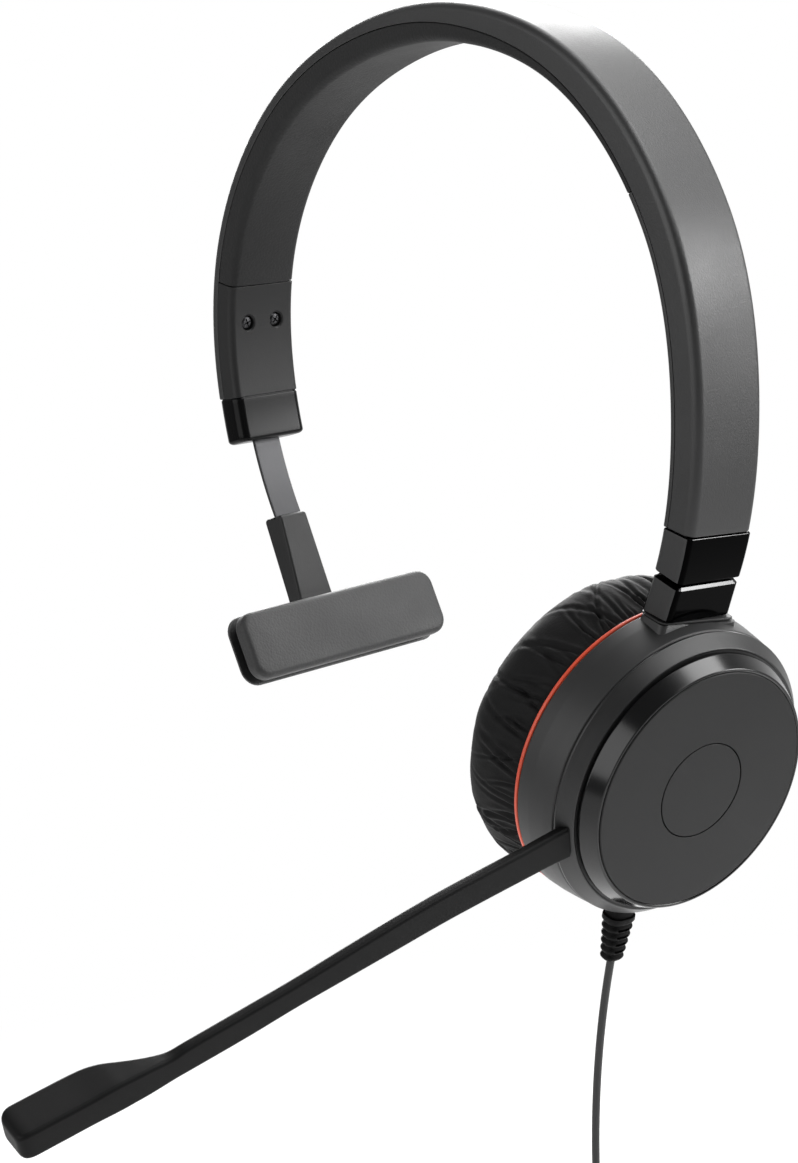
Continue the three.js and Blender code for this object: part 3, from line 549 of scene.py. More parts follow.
for node, obj in frame["nodes"].items():            # kept CAD nodes: each gets its slot's finish
    obj.data.materials.clear()
    key = SLOT_FOR_NODE.get(node, "matte_shell")
    if node in ("acoustic_foam", "crown_foam"):
        key = "foam"
    obj.data.materials.append(M[key if key in M else "matte_shell"])
    for poly in obj.data.polygons:
        poly.use_smooth = False

# --------------------------------------------------------------------- camera
cam_data = bpy.data.cameras.new("camera")
cam_data.lens = 72.09
cam_data.sensor_width = 36
cam_data.clip_start, cam_data.clip_end = 0.01, 20
cam = bpy.data.objects.new("camera", cam_data)
bpy.context.scene.collection.objects.link(cam)
CAM_R, CAM_U, CAM_B = Vector((0.6488, 0.7547, -0.0975)), Vector((-0.0556, 0.1747, 0.9830)), Vector((0.7589, -0.6324, 0.1553))
CAM_B.normalize()
CAM_R = CAM_U.cross(CAM_B).normalized()
CAM_U = CAM_B.cross(CAM_R).normalized()
cam.matrix_world = Matrix.Translation((0.3420, -0.3064, -0.0311)) @ Matrix((CAM_R, CAM_U, CAM_B)).transposed().to_4x4()
bpy.context.scene.camera = cam

# ----------------------------------------------------------------------- cord
def cup_local(x, y, z):
    return place([(x, y, z)], CUP)[0]


exit_pt = cup_local(*EXIT)
drop = []
for i in range(25):
    Ld = CORD_DROP * i / 24
    n = 60
    x = z = 0.0
    for j in range(n):
        th = max(0.0, CORD_TILT * (1 - (Ld * (j + 0.5) / n) / CORD_STRAIGHTENS))
        x -= math.sin(th) * Ld / n
        z -= math.cos(th) * Ld / n
    drop.append(np.array([exit_pt[0] + x, exit_pt[1], exit_pt[2] + z]))
COIL = drop[-1] + np.array([0, 0, -COIL_BELOW])


def coil_at(psi, r, y=0.0):
    return COIL + np.array([r * math.sin(psi * RAD), y, r * math.cos(psi * RAD)])


TURN_R = [6.85, 8.4, 9.95, 11.55]                   # four layers of four turns, a diameter apart
TURN_Y = [-2.35, -0.78, 0.78, 2.35]
# lead joins the outermost layer at psi 52; the turns wind in layers, crossing over behind the tie
route = [p for p in drop]
route += [COIL + np.array([1.2, 0, 14.9]), COIL + np.array([4.9, 0.2, 12.1])]
order = []
for li, r in enumerate(reversed(TURN_R)):           # outer layer first
    ys = TURN_Y if li % 2 == 0 else TURN_Y[::-1]
    for y in ys:
        order.append((r, y))
order = order[:-1]                                  # fifteen turns
coil_pts = []
PSI0 = 52.0
for k, (r, y) in enumerate(order):
    nr, ny = order[k + 1] if k + 1 < len(order) else (r, y)
    for j in range(24):
        f = j / 24
        w = max(0.0, (f - 0.80) / 0.20)             # the change to the next turn is made over its last fifth
        w = w * w * (3 - 2 * w)
        coil_pts.append(coil_at(PSI0 + 360 * f, r + (nr - r) * w, y + (ny - y) * w))
WORLD_DIM, WORLD_BRIGHT = 0.14, 1.0
WORLD_AT = (-0.74, 0.63, 0.02)
EXPOSURE = 0.0
LIGHTS = [
    ("key", (0.94, 0.99, 0.25), (0, 0, -0.1), 0.45, 12, 0.42),
    ("upper_key", (0.95, 0.62, 1.10), (0, 0, -0.08), 1.5, 19, 0.8),
    ("side", (1.08, 0.94, -0.20), (0, 0, -0.1), 0.5, 3.2, 0.3),
    ("back", (-0.90, 0.70, 0.26), (0, 0, -0.05), 0.95, 15, 0.6),
    ("upper_back", (-0.62, 0.72, 0.62), (0, 0, -0.02), 0.55, 8, 0.7),
    ("top", (0.12, 0.60, 1.20), (0, 0, -0.1), 1.3, 15, 1.1),
    ("fill", (-0.1, -1.40, 0.35), (0, 0, -0.1), 1.8, 15, 1.1),
]
coil_pts.append(coil_at(PSI0, *order[-1]))
# after the last turn the end runs round to psi 118, steps out over the layers and drops to the plug
r_in, y_in = order[-1]
for j in range(1, 12):
    f = j / 12
    q = f * f * (3 - 2 * f)
    coil_pts.append(coil_at(PSI0 + 66 * f, r_in + (TURN_R[-1] - r_in) * q, 4.0 * math.sin(math.pi * min(1, f * 1.15)) * (1 if y_in >= 0 else -1) * 0.85 + y_in * (1 - q)))
tail_pts = [COIL + np.array(v) for v in ((9.8, 0, -7.2), (6.6, 0, -11.2), (2.6, 0, -15.6), (0.6, 0, -18.6), (0.0, 0, -21.9))]
line = np.concatenate([np.array(route), np.array(coil_pts), np.array(tail_pts)])
cu = bpy.data.curves.new("cord", "CURVE")
cu.dimensions = "3D"
sp = cu.splines.new("POLY")
sp.points.add(len(line) - 1)
dense = line
for p, v in zip(sp.points, dense):
    p.co = (*(v * 0.001), 1)
cu.bevel_depth = CORD_D / 2000
cu.bevel_resolution = 4
cu.use_fill_caps = True
cu.materials.append(M["cord_rubber"])
cord = bpy.data.objects.new("cord", cu)
bpy.context.scene.collection.objects.link(cord)
piece(cord, "cup", "black_rubber", "cord_lead", "cord_coil", "cord_tail")

# tie: a soft strap round the bundle at the coil's left side
tie_out = round_poly([(-4.45, -4.35), (4.45, -4.35), (4.45, 4.35), (-4.45, 4.35)], 1.8, 5)
tie_in = inset(tie_out, 0.7)
tl = []
for k, (o_, z_) in enumerate([(tie_out, -1.5), (tie_out, 1.5), (tie_in, 1.5), (tie_in, -1.5)]):
    tl.append(np.column_stack([o_[:, 0] + COIL[0] - 9.2, o_[:, 1] + COIL[1], np.full(len(o_), COIL[2] + z_)]))
tie = make("cord_tie_strap", *rings(tl, around=True), M["black_rubber"], sharp=50)
bv = tie.modifiers.new("bevel", "BEVEL")
bv.width, bv.segments, bv.limit_method = 0.00018, 2, "ANGLE"
piece(tie, "cup", "black_rubber", "cord_tie")

# plug: tapered strain relief with rings, body with a grip band, four-pole contact
PZ = COIL[2] - 21.8
PLUG = (np.eye(3), np.array([COIL[0], COIL[1], PZ]))
prof, rad = [(0, 0), (1.15, 0)], [0, 0.2]
for i in range(5):
    z0 = -0.9 - i * 1.3
    ra = 1.2 + 0.17 * i
    prof += [(ra + 0.05, z0 + 0.4), (ra + 0.15, z0), (ra - 0.25, z0 - 0.12), (ra - 0.25, z0 - 0.5), (ra + 0.2, z0 - 0.62)]
    rad += [0.05] * 5
prof += [(2.1, -7.6), (0, -7.6)]
rad += [0.1, 0]
pr = lathe("plug_strain_relief", prof, rad, M["black_rubber"], 64, PLUG, 2)
piece(pr, "cup", "black_rubber", "plug_relief")
pb = lathe("plug_shell", [(0, -7.9), (2.9, -7.9), (3.5, -9.0), (3.5, -13.5), (3.28, -13.8), (3.28, -18.6), (3.5, -18.9), (3.5, -22.6), (3.0, -23.4), (0, -23.4)],
           [0, 0.5, 0.6, 0.15, 0.15, 0.15, 0.15, 0.5, 0.3, 0], M["matte_shell"], 72, PLUG, 3)
piece(pb, "cup", "matte_shell", "plug_body")
pc = lathe("plug_four_pole_contact", [(0, -23.7), (2.55, -23.7), (2.55, -24.5), (1.75, -24.6), (1.75, -35.2), (1.15, -35.9), (1.65, -36.9), (0.5, -38.45), (0, -38.5)],
           [0, 0.1, 0.15, 0.1, 0.15, 0.3, 0.4, 0.3, 0], M["plug_gold"], 64, PLUG, 3)
piece(pc, "cup", "plug_gold", "plug_contact")
bands = []
for z in (-27.2, -30.2, -33.2):
    bands.append(turned(round_poly([(1.70, z), (1.785, z), (1.785, z - 0.55), (1.70, z - 0.55)], 0.02, 1), 64, PLUG))
pbands = make("plug_insulating_bands", *join_parts(bands), M["plug_band"])
piece(pbands, "cup", "black_rubber")

# ------------------------------------------------------------- light and floor
scene = bpy.context.scene
FLOOR_Z = -0.325


def plain(name, colour, rough):
    m = bpy.data.materials.new(name)
    m.use_nodes = True
    b = m.node_tree.nodes["Principled BSDF"]
    b.inputs["Base Color"].default_value = (*colour, 1)
    b.inputs["Roughness"].default_value = rough
    b.inputs["Specular IOR Level"].default_value = 0.1
    return m


# a plain round floor: pale and matte under the object, going over into the white surround
fl = [(0, 0, FLOOR_Z * 1000)] + [(800 * math.cos(i * math.pi / 48), 800 * math.sin(i * math.pi / 48), FLOOR_Z * 1000) for i in range(96)]
pale = plain("pale_floor", (0.82, 0.82, 0.82), 0.9)
pn, pl = pale.node_tree.nodes, pale.node_tree.links
tcf = pn.new("ShaderNodeTexCoord")
ln = pn.new("ShaderNodeVectorMath")
ln.operation = "LENGTH"
pl.new(tcf.outputs["Object"], ln.inputs[0])
mf = pn.new("ShaderNodeMapRange")
mf.interpolation_type = "SMOOTHSTEP"
mf.inputs["From Min"].default_value, mf.inputs["From Max"].default_value = 0.27, 0.55
pl.new(ln.outputs["Value"], mf.inputs["Value"])
em = pn.new("ShaderNodeEmission")
em.inputs["Strength"].default_value = 1.0
ms = pn.new("ShaderNodeMixShader")
pl.new(mf.outputs["Result"], ms.inputs["Fac"])
pl.new(pn["Principled BSDF"].outputs["BSDF"], ms.inputs[1])
pl.new(em.outputs["Emission"], ms.inputs[2])
pl.new(ms.outputs["Shader"], pn["Material Output"].inputs["Surface"])
floor = make("floor", fl, [(0, 1 + i, 1 + (i + 1) % 96) for i in range(96)], pale, weighted=False)

world = bpy.data.worlds.new("studio")
scene.world = world
world.use_nodes = True
# studio surround, fixed in the row frame: bright behind the object and above, dim on the side it is seen from
wn, wl = world.node_tree.nodes, world.node_tree.links
tc = wn.new("ShaderNodeTexCoord")
dot = wn.new("ShaderNodeVectorMath")
dot.operation = "DOT_PRODUCT"
dot.inputs[1].default_value = tuple(Vector(WORLD_AT).normalized())
wl.new(tc.outputs["Generated"], dot.inputs[0])
mr = wn.new("ShaderNodeMapRange")
mr.interpolation_type = "SMOOTHSTEP"
mr.inputs["From Min"].default_value, mr.inputs["From Max"].default_value = 0.2, 0.95
mr.inputs["To Min"].default_value, mr.inputs["To Max"].default_value = WORLD_DIM, WORLD_BRIGHT
wl.new(dot.outputs["Value"], mr.inputs["Value"])
lp = wn.new("ShaderNodeLightPath")
mx = wn.new("ShaderNodeMix")
mx.data_type = "FLOAT"
wl.new(lp.outputs["Is Camera Ray"], mx.inputs["Factor"])
wl.new(mr.outputs["Result"], mx.inputs["A"])
mx.inputs["B"].default_value = 1.0
wl.new(mx.outputs["Result"], wn["Background"].inputs["Strength"])
wn["Background"].inputs["Color"].default_value = (1, 1, 1, 1)


def softbox(name, at, to, size, power, size_y=None, spread=180):
    d = bpy.data.lights.new(name, "AREA")
    d.energy = power
    d.shape = "RECTANGLE"
    d.size, d.size_y = size, size_y or size
    d.spread = spread * RAD
    o = bpy.data.objects.new(name, d)
    scene.collection.objects.link(o)
    o.location = at
    o.visible_camera = False
    o.rotation_mode = "QUATERNION"
    o.rotation_quaternion = (Vector(to) - Vector(at)).to_track_quat("-Z", "Y")
    return o


for a in LIGHTS:
    softbox(*a)
scene.view_settings.view_transform = "Standard"
scene.view_settings.look = "None"
scene.view_settings.exposure = EXPOSURE
scene.view_settings.gamma = 1.0

# ------------------------------------------------------------------- headband
def shell_section(phi, T, d):
    s = seam(phi)
    c = [(-H + d, d), (H - d, d), (H - d, s - d), (H - LIP + d, s - d), (H - LIP + d, WALL - d), (-H + LIP - d, WALL - d), (-H + LIP - d, s - d), (-H + d, s - d)]
    return round_poly(c, [1.7, 1.7, 0.15, 0.1, 0.25, 0.25, 0.1, 0.15], 6)


shell = make("headband_outer_shell", *along_band(RIGHT_END, LEFT_END, shell_section, 1.2, 0.3), M["matte_shell"])
piece(shell, "headband", "matte_shell", "headband_shell")


def pad_section(phi, T, d):
    s = seam(phi) + 0.1
    ys = [H - 0.02 - d] + [H * k for k in (0.6, 0.3, 0.0, -0.3, -0.6)] + [-H + 0.02 + d]
    c = [(-H + 0.02 + d, s + d), (H - 0.02 - d, s + d)] + [(y, T - d) for y in ys]
    p = round_poly(c, [0.28, 0.28, 2.1] + [0] * 5 + [2.1], 6)
    w = np.clip((p[:, 1] - (T - 2.2)) / 2.2, 0, 1)
    p[:, 1] += 0.32 * (1 - (p[:, 0] / H) ** 2) * w * w
    return p


cpad = make("crown_lining", *along_band(PAD_FROM, PAD_TO, pad_section, 1.2, 0.35), M["lining"], sharp=60)
piece(cpad, "headband", "leatherette", "crown_pad")


def cover_section(r):
    def f(phi, T, d):
        s = seam(phi) + 0.2
        return round_poly([(-H + d, s - 0.1 + d), (H - d, s - 0.1 + d), (H - d, T - d), (-H + d, T - d)], [0.15, 0.15, r, r], 5)
    return f


rc = make("right_lower_lining_cover", *along_band(RIGHT_END, PAD_FROM - 0.12, cover_section(1.3), 1.2, 0.2), M["matte_shell"])
piece(rc, "headband", "matte_shell", "right_inner_cover")

SCREW_PHI, SCREW_Y = 177.9, 3.8
T_L = band_t(SCREW_PHI)
s_in, s_out = band_pt(SCREW_PHI, T_L), band_pt(SCREW_PHI, 0)
sd = np.array([s_in[0] - s_out[0], 0, s_in[1] - s_out[1]])
sd /= np.linalg.norm(sd)
sx = np.array([0, 1.0, 0])
sy = np.cross(sd, sx)


def screw_frame(y):
    return (np.array([sx, sy, sd]).T, np.array([s_out[0], y, s_out[1] - CROWN_Z]))


lc = make("left_lower_lining_cover", *along_band(PAD_TO + 0.1, LEFT_END, cover_section(1.5), 1.2, 0.18), M["matte_inner"])
tools = [arc_slab(TBAR_C, TBAR_R - TBAR_T / 2 - 0.3, TBAR_R + 3, 160, 206, -TBAR_W / 2 - 0.3, TBAR_W / 2 + 0.3)]
for y in (-SCREW_Y, SCREW_Y):
    tools.append(turned(round_poly([(0, T_L - 1.6), (1.62, T_L - 1.6), (1.62, T_L - 0.28), (1.95, T_L + 0.05), (1.95, T_L + 3), (0, T_L + 3)], 0, 1), 48, screw_frame(y)))
    tools.append(turned([(0, 0), (1.0, 0), (1.0, T_L - 1), (0, T_L - 1)], 24, screw_frame(y)))
boolean(lc, tools)
piece(lc, "headband", "matte_shell", "left_inner_cover")
for name, y, turn in (("cover_screw_front", -SCREW_Y, 20), ("cover_screw_rear", SCREW_Y, 52)):
    fr = screw_frame(y)
    sc = make(name + "_head", *turned(round_poly([(0, WALL + 0.3), (0.7, WALL + 0.3), (0.7, T_L - 1.35), (1.42, T_L - 1.3), (1.42, T_L - 0.75), (0.9, T_L - 0.5), (0, T_L - 0.46)], [0, 0.1, 0.05, 0.08, 0.2, 0.2, 0], 3), 48, fr), M["screw_steel"])
    cuts = []
    for q in (0, 90):
        a = (q + turn) * RAD
        rot = np.array([[math.cos(a), -math.sin(a), 0], [math.sin(a), math.cos(a), 0], [0, 0, 1]])
        v, f = box_mesh(-0.85, 0.85, -0.16, 0.16, T_L - 0.95, T_L)
        cuts.append((place(v @ rot.T, fr), f))
    boolean(sc, cuts)
    piece(sc, "headband", "strip_steel", name)


def cap_section(ro, ri):
    def f(phi, T, d):
        e = 0.1
        return round_poly([(-H - e + d, -e + d), (H + e - d, -e + d), (H + e - d, T + e - d), (-H - e + d, T + e - d)], [ro, ro, ri, ri], 6)
    return f


lcap = make("left_gloss_cap", *along_band(LEFT_END - 0.32, 199.7, cap_section(2.1, 2.0), 0.8, 0.95, n=7), M["gloss_left"])
boolean(lcap, [arc_slab(TBAR_C, TBAR_R - TBAR_T / 2 - 0.3, TBAR_R + TBAR_T / 2 + 0.3, 180, 206, -TBAR_W / 2 - 0.3, TBAR_W / 2 + 0.3)])
piece(lcap, "headband", "gloss_black", "left_end_cap")
rcap = make("right_gloss_cap", *along_band(RIGHT_END - 0.12, -38.6, cap_section(1.2, 1.2), 0.8, 0.3, n=4), M["gloss_deep"])
boolean(rcap, [arc_slab(SLIDE_C, SLIDE_R - SLIDE_T / 2 - 0.3, SLIDE_R + SLIDE_T / 2 + 0.3, -35, -5, -SLIDE_W / 2 - 0.3, SLIDE_W / 2 + 0.3)])
piece(rcap, "headband", "gloss_black", "right_end_cap")

# ---------------------------------------------------------------------- T-bar
v1 = arc_slab(TBAR_C, TBAR_R - TBAR_T / 2, TBAR_R + TBAR_T / 2, 187.5, 203.6, -TBAR_W / 2, TBAR_W / 2, 0.5, 0.18)
strip = make("tbar_spring_strip", *v1, M["strip_steel"])
boolean(strip, [arc_slab(TBAR_C, TBAR_R - TBAR_T / 2, TBAR_R + TBAR_T / 2, 180.5, 188.4, -2.4, 2.4, 0.5, 0.1),
                arc_slab(TBAR_C, TBAR_R - TBAR_T / 2, TBAR_R + TBAR_T / 2, 201.6, 206.5, -2.4, 2.4, 0.5, 0.1)], "UNION")
piece(strip, "tbar", "strip_steel", "tbar_strip")
STEM = [(-65.3, -41.7), (-59.3, -40.3), (-54.7, -58.2), (-52.2, -62.4), (-55.2, -68.0), (-57.6, -64.0), (-59.2, -58.6)]
stem_line = round_poly(STEM, [0.9, 0.9, 4.0, 1.0, 1.0, 1.5, 4.0], 5)
sv, sf = prism(stem_line, -3.6, 3.6, 0.55, axes=XZ, plane="xz")
low = np.clip((-41.0 - CROWN_Z - sv[:, 2]) / 18.0, 0, 1.3)         # the stem widens towards the pad
sv[:, 1] = sv[:, 1] * (1 + 0.27 * low) + 0.45 * low
stem = make("tbar_stem_body", sv, sf, M["matte_inner"])
boolean(stem, [box_mesh(-6.6, 3, -28, 28, -7.9, 7.9, PADF), arc_slab(TBAR_C, TBAR_R - TBAR_T / 2 - 0.15, TBAR_R + TBAR_T / 2 + 0.15, 200, 206.8, -2.65, 2.65),
               arc_slab(TBAR_C, TBAR_R - TBAR_T / 2 - 0.12, TBAR_R + TBAR_T / 2 + 0.12, 199, 203.8, -TBAR_W / 2 - 0.15, TBAR_W / 2 + 0.15)])
piece(stem, "tbar", "matte_shell", "tbar_stem")


def rr(w, h, r, n=8):
    return round_poly([(-w, -h), (w, -h), (w, h), (-w, h)], max(r, 0.15), n)


def plate(w, h, r, back, front, axes=PADF):
    """A rounded plate in (y, z): back and front are lists of (inset from the outline, x as a function of the points)."""
    loops = []
    for d, fx in back + front:
        p = rr(w - d, h - d, r - d)
        loops.append(np.column_stack([fx(p), p]))
    v, f = rings(loops)
    return place(v, axes), f


def dome(x0, depth, d, r, w, h):
    """x on a padded face: rounded over r at its rim, then crowned by depth towards its middle."""
    def f(p):
        crown = depth * (1 - np.clip(np.abs(p[:, 0]) / w, 0, 1) ** 4) * (1 - np.clip(np.abs(p[:, 1]) / h, 0, 1) ** 2)
        q = min(1, d / r)
        return x0 - r * (1 - math.sqrt(max(0, 1 - (1 - q) ** 2))) + crown
    return f


W_, H_ = 26.75, 7.3
steps_in = [1.4 * (1 - math.sin(math.pi / 2 * k / 7)) for k in range(8)][:-1] + [1.4 + k * 0.62 for k in range(1, 9)]
front = [(d, dome(-0.25, 0.35, d, 1.4, W_, H_)) for d in sorted(steps_in)]
back_rim = [(0.9 * (1 - math.sin(math.pi / 2 * k / 5)), (lambda k: lambda p: np.full(len(p), -3.6 + 0.9 * (1 - math.cos(math.pi / 2 * k / 5))))(k)) for k in range(6)]
tp = make("tbar_soft_pad", *plate(W_, H_, 3.6, back_rim, front), M["leatherette"], sharp=60)
piece(tp, "tbar", "leatherette", "tbar_pad")
cr = make("tbar_pad_carrier_rim", *prism(rr(25.6, 6.2, 2.9), -5.15, -3.75, 0.2, axes=PADF, plane="yz"), M["black_rubber"])
piece(cr, "tbar", "black_rubber", "tbar_carrier")


def back_depth(p):
    return np.interp(np.abs(p[:, 0]), [0, 4, 8, 12, 18, 26, 27], [9.6, 9.45, 8.95, 8.4, 7.55, 6.6, 6.4])


loops = []
for k in range(9):                                   # front face rim, then the bowed back, rounded over at its edge
    pass
bk = [(0.35, lambda p: np.full(len(p), -5.4)), (0.1, lambda p: np.full(len(p), -5.5)), (0.0, lambda p: np.full(len(p), -5.75))]
for d in (0.0, 0.12, 0.35, 0.7, 1.2, 1.9, 2.8, 4.0, 5.4, 6.6):
    bk.append((d, (lambda d: lambda p: -5.75 - (back_depth(p) - 5.75) * (1 - (1 - min(1, (d + 0.02) / 3.2)) ** 2.6) ** 0.55)(d)))
loops = []
for d, fx in bk:
    p = rr(27.0 - d, 7.6 - d, 3.9 - d)
    loops.append(np.column_stack([fx(p), p]))
bpv, bpf = rings(loops)
bp = make("tbar_back_shell", place(bpv, PADF), bpf, M["matte_shell"])
piece(bp, "tbar", "matte_shell", "tbar_back_plate")

# --------------------------------------------------------------------- slider
q = lambda s: (lambda v: np.array([v[0], v[2] + CROWN_Z]))(cup_local(0, NECK_TOP - 0.5, s))
outer = [band_pt(-39.15, -0.05), q(-9.9)]
inner = [band_pt(-39.15, band_t(-39.15)), band_pt(-41.5, band_t(-41.5) - 0.05), q(-16.7)]


def even(pts, n):
    pts = np.array(pts)
    s = np.concatenate([[0], np.cumsum(np.linalg.norm(np.diff(pts, axis=0), axis=1))])
    return np.column_stack([np.interp(np.linspace(0, s[-1], n), s, pts[:, k]) for k in (0, 1)])


NA = 26
outer, inner = even(outer, NA), even(inner, NA)
for _ in range(6):
    for l_ in (outer, inner):
        l_[1:-1] = (l_[:-2] + 2 * l_[1:-1] + l_[2:]) / 4
La = np.linalg.norm(np.diff(outer, axis=0), axis=1).sum()


def at(line_, u):
    x = u * (len(line_) - 1)
    i = min(int(x), len(line_) - 2)
    return line_[i] + (line_[i + 1] - line_[i]) * (x - i)


st = []
for k in range(3):                                   # a flat-looking chamfer at the top
    st.append((0 + 0.46 * k / 3 / La, 0.46 * (1 - k / 3)))
for k in range(NA):
    a0, b0 = 0.46 / La, 1 - 0.4 / La
    st.append((a0 + (b0 - a0) * k / (NA - 1), 0))
for k in range(4):
    t = math.pi / 2 * (1 - (k + 1) / 4)
    st.append((1 - 0.4 / La * (1 - math.cos(t)), 0.4 * (1 - math.sin(t))))
stations = [(*at(outer, u), *at(inner, u), d) for u, d in st]
arm_sec = lambda T, d: round_poly([(-H + d, d), (H - d, d), (H - d, T - d), (-H + d, T - d)], [1.2, 1.2, 1.2, 1.2], 6)
arm = make("arm_end_block", *loft_band(stations, arm_sec), M["gloss_deep"], sharp=25)


def pin_tool(r, y0, y1, seg=32):
    v, f = turned([(0, y0), (r, y0), (r, y1), (0, y1)], seg)
    v = np.column_stack([v[:, 0] + PIN_X, v[:, 2], -v[:, 1] + PIN_Z])
    return place(v, CUP), f


boolean(arm, [pin_tool(1.9, NECK_TOP - 1, NECK_TOP + 4.0)], sharp=25)


def side_faces(o, material):
    """The faces looking along the row's y axis get their own material."""
    o.data.materials.append(material)
    for f in o.data.polygons:
        if abs(f.normal.y) > 0.86:
            f.material_index = len(o.data.materials) - 1


arm.data.materials.append(M["gloss_rim"])
for f in arm.data.polygons:                          # the polished chamfer round its top
    if f.normal.x > 0.8 and f.normal.z > -0.15:
        f.material_index = 1
side_faces(arm, M["matte_shell"])
rcap.data.materials.append(M["gloss_rim"])
for f in rcap.data.polygons:
    if f.normal.x > 0.9 and f.normal.z > -0.05:
        f.material_index = 1
side_faces(rcap, M["matte_shell"])
piece(arm, "slider", "gloss_black", "arm_end")
ss = make("slider_steel_strip", *arc_slab(SLIDE_C, SLIDE_R - SLIDE_T / 2, SLIDE_R + SLIDE_T / 2, -25.8, 1.5, -SLIDE_W / 2, SLIDE_W / 2, 0.6, 0.2), M["strip_steel"])
piece(ss, "slider", "strip_steel", "slider_strip")

# -------------------------------------------------------------------- ear cup
hp = [(28.82, S_RING - 0.75), (29.2, -9.6), (29.65, -13.2), (29.82, S_BACK), (HOUSING_R - 1.6, S_BACK), (HOUSING_R - 1.6, S_RING - 1.9), (HUB_R - 1.5, S_RING - 1.9),
      (HUB_R - 1.5, S_RIM - 0.9), (HUB_R, S_RIM - 0.9), (HUB_R, S_RING - 0.28)]
housing = make("ear_cup_housing", *turned(round_poly(hp, [0.55, 8, 8, 0.4, 0.2, 0.2, 0.1, 0.1, 0.2, 0.1], 5), 200, CUP), M["cup_plastic"])
NECK_SIDE = 1 if CUP[0][1, 0] > 0 else -1
NECKS = [(26.0, 9.4, -16.36, -9.3, 1.2), (28.2, 9.3, -16.36, -9.4, 1.2), (29.0, 8.75, -16.35, -9.9, 1.3), (29.2, 8.45, -16.34, -10.2, 1.4), (29.35, 8.4, -16.34, -10.3, 1.4),
         (29.38, 9.0, -16.4, -9.75, 1.5), (29.6, 9.0, -16.4, -9.75, 1.5), (29.75, 8.8, -16.3, -9.95, 1.4)]
loops = []
for y, hw, s0, s1, r in NECKS:
    p = round_poly([(PIN_X - hw, s0), (PIN_X + hw, s0), (PIN_X + hw, s1), (PIN_X - hw, s1)], r, 6)
    loops.append(np.column_stack([p[:, 0], y + (SKEW * NECK_SIDE if y > 28.5 else 0) * (p[:, 0] - PIN_X), p[:, 1]]))
nv, nf = rings(loops)
boolean(housing, [(place(nv, CUP), nf)], "UNION")
boolean(housing, [turned([(0, S_BACK + 0.02), (HOUSING_R - 1.62, S_BACK + 0.02), (HOUSING_R - 1.62, S_RING - 1.92), (0, S_RING - 1.92)], 96, CUP), pin_tool(1.9, 20, NECK_TOP + 1),
                  box_mesh(EXIT[0] - 3.05, EXIT[0] + 3.05, -32, -26, EXIT[2] - 2.65, EXIT[2] + 2.65, CUP)])
piece(housing, "cup", "matte_shell", "cup_housing")

ACCENT_V = 29.8
red = lathe("red_accent_ring", [(ACCENT_V, S_BACK - 0.2), (ACCENT_V, S_BACK - 1.0), (27.6, S_BACK - 1.0), (27.6, S_BACK - 0.22)], [0.32, 0.32, 0.05, 0.05], M["accent_red"], 200)
piece(red, "cup", "accent_red", "accent_ring")
rim = lathe("gloss_rim_ring", [(23.65, -0.28), (23.95, -0.14), (24.25, -0.2), (RIM_R - 0.78, S_RIM + 0.15), (RIM_R - 0.78, S_RIM - 0.3), (22.6, S_RIM - 0.35), (22.6, -1.95), (23.65, -1.95)],
            [0.1, 0.1, 0.35, 0.35, 0.15, 0, 0, 0], M["gloss_rim"], 240, n=6)
piece(rim, "cup", "gloss_black", "glossy_rim")
dp = [(DISC_R - 0.07, -0.1), (DISC_R - 0.07, -1.65), (0, -1.65), (0, -1.0), (9.6, -1.0), (9.6, 0)]
disc = lathe("outer_face_disc", dp, [0.28, 0.05, 0, 0, 0.05, 0.1], M["disc_plastic"], 240, n=6)
piece(disc, "cup", "matte_shell", "outer_disc")
med = lathe("centre_medallion", [(9.38, -0.75), (9.38, -0.01), (0, 0.02), (0, -0.75)], [0.05, 0.12, 0, 0], M["disc_plastic"], 160)
piece(med, "cup", "matte_shell", "medallion")
ring_pts = [(HUB_R + 0.35, S_RIM - 0.62), (RIM_R - 0.4, S_RIM - 0.62), (RIM_R + 0.0, S_RIM - 0.42), (28.2, S_RING + 0.6), (28.8, S_RING - 0.1), (28.77, S_RING - 0.55), (HUB_R + 3, S_RING - 0.55), (HUB_R + 3, S_RING + 0.02), (HUB_R + 0.35, S_RING + 0.02)]
bring = make("boom_turning_ring", *turned(round_poly(ring_pts, [0.05, 0.1, 0.25, 1.2, 0.3, 0.15, 0.05, 0.05, 0.05], 5), 240, CUP), M["ring_plastic"])
piece(bring, "boom_ring", "matte_shell", "boom_ring")

# boom: one moulded arm from its root on the ring to the microphone head
P0, P1 = np.array([101.7, 30.85]), np.array([132.4, 39.2])
MD = (P1 - P0) / np.linalg.norm(P1 - P0)
TOP = np.array([[27.2, 4.1], [31.5, 5.35], [35.8, 6.65], [52.4, 11.3], [62.5, 14.6], [72.3, 18.1], [82, 21.6], [91.5, 24.7], [102.6, 28.25]])
LOW = np.array([[25.6, 10.6], [30.0, 11.5], [34.3, 12.6], [51.5, 17.2], [61.7, 20.35], [71.7, 23.45], [81.5, 26.5], [91.1, 29.8], [101.6, 33.15]])
S_OUT = [-4.15, -4.15, -4.15, -4.12, -4.1, -4.1, -4.1, -4.1, -4.12]
S_IN = [-6.35, -6.35, -6.35, -6.4, -6.45, -6.5, -6.5, -6.5, -6.5]
mic = [(3.5, 2.33, 4.1, 6.8), (6.5, 2.52, 4.05, 7.6), (9.0, 2.64, 4.0, 8.7), (11.5, 2.7, 4.0, 10.1), (13.5, 2.76, 4.0, 11.2), (16, 2.7, 4.0, 12.1), (19, 2.62, 4.0, 12.45), (24, 2.62, 4.0, 12.5), (29.0, 2.62, 4.0, 12.5)]
rows = []
for t, l, so, si in zip(TOP, LOW, S_OUT, S_IN):
    rows.append([*t, *l, so, si])
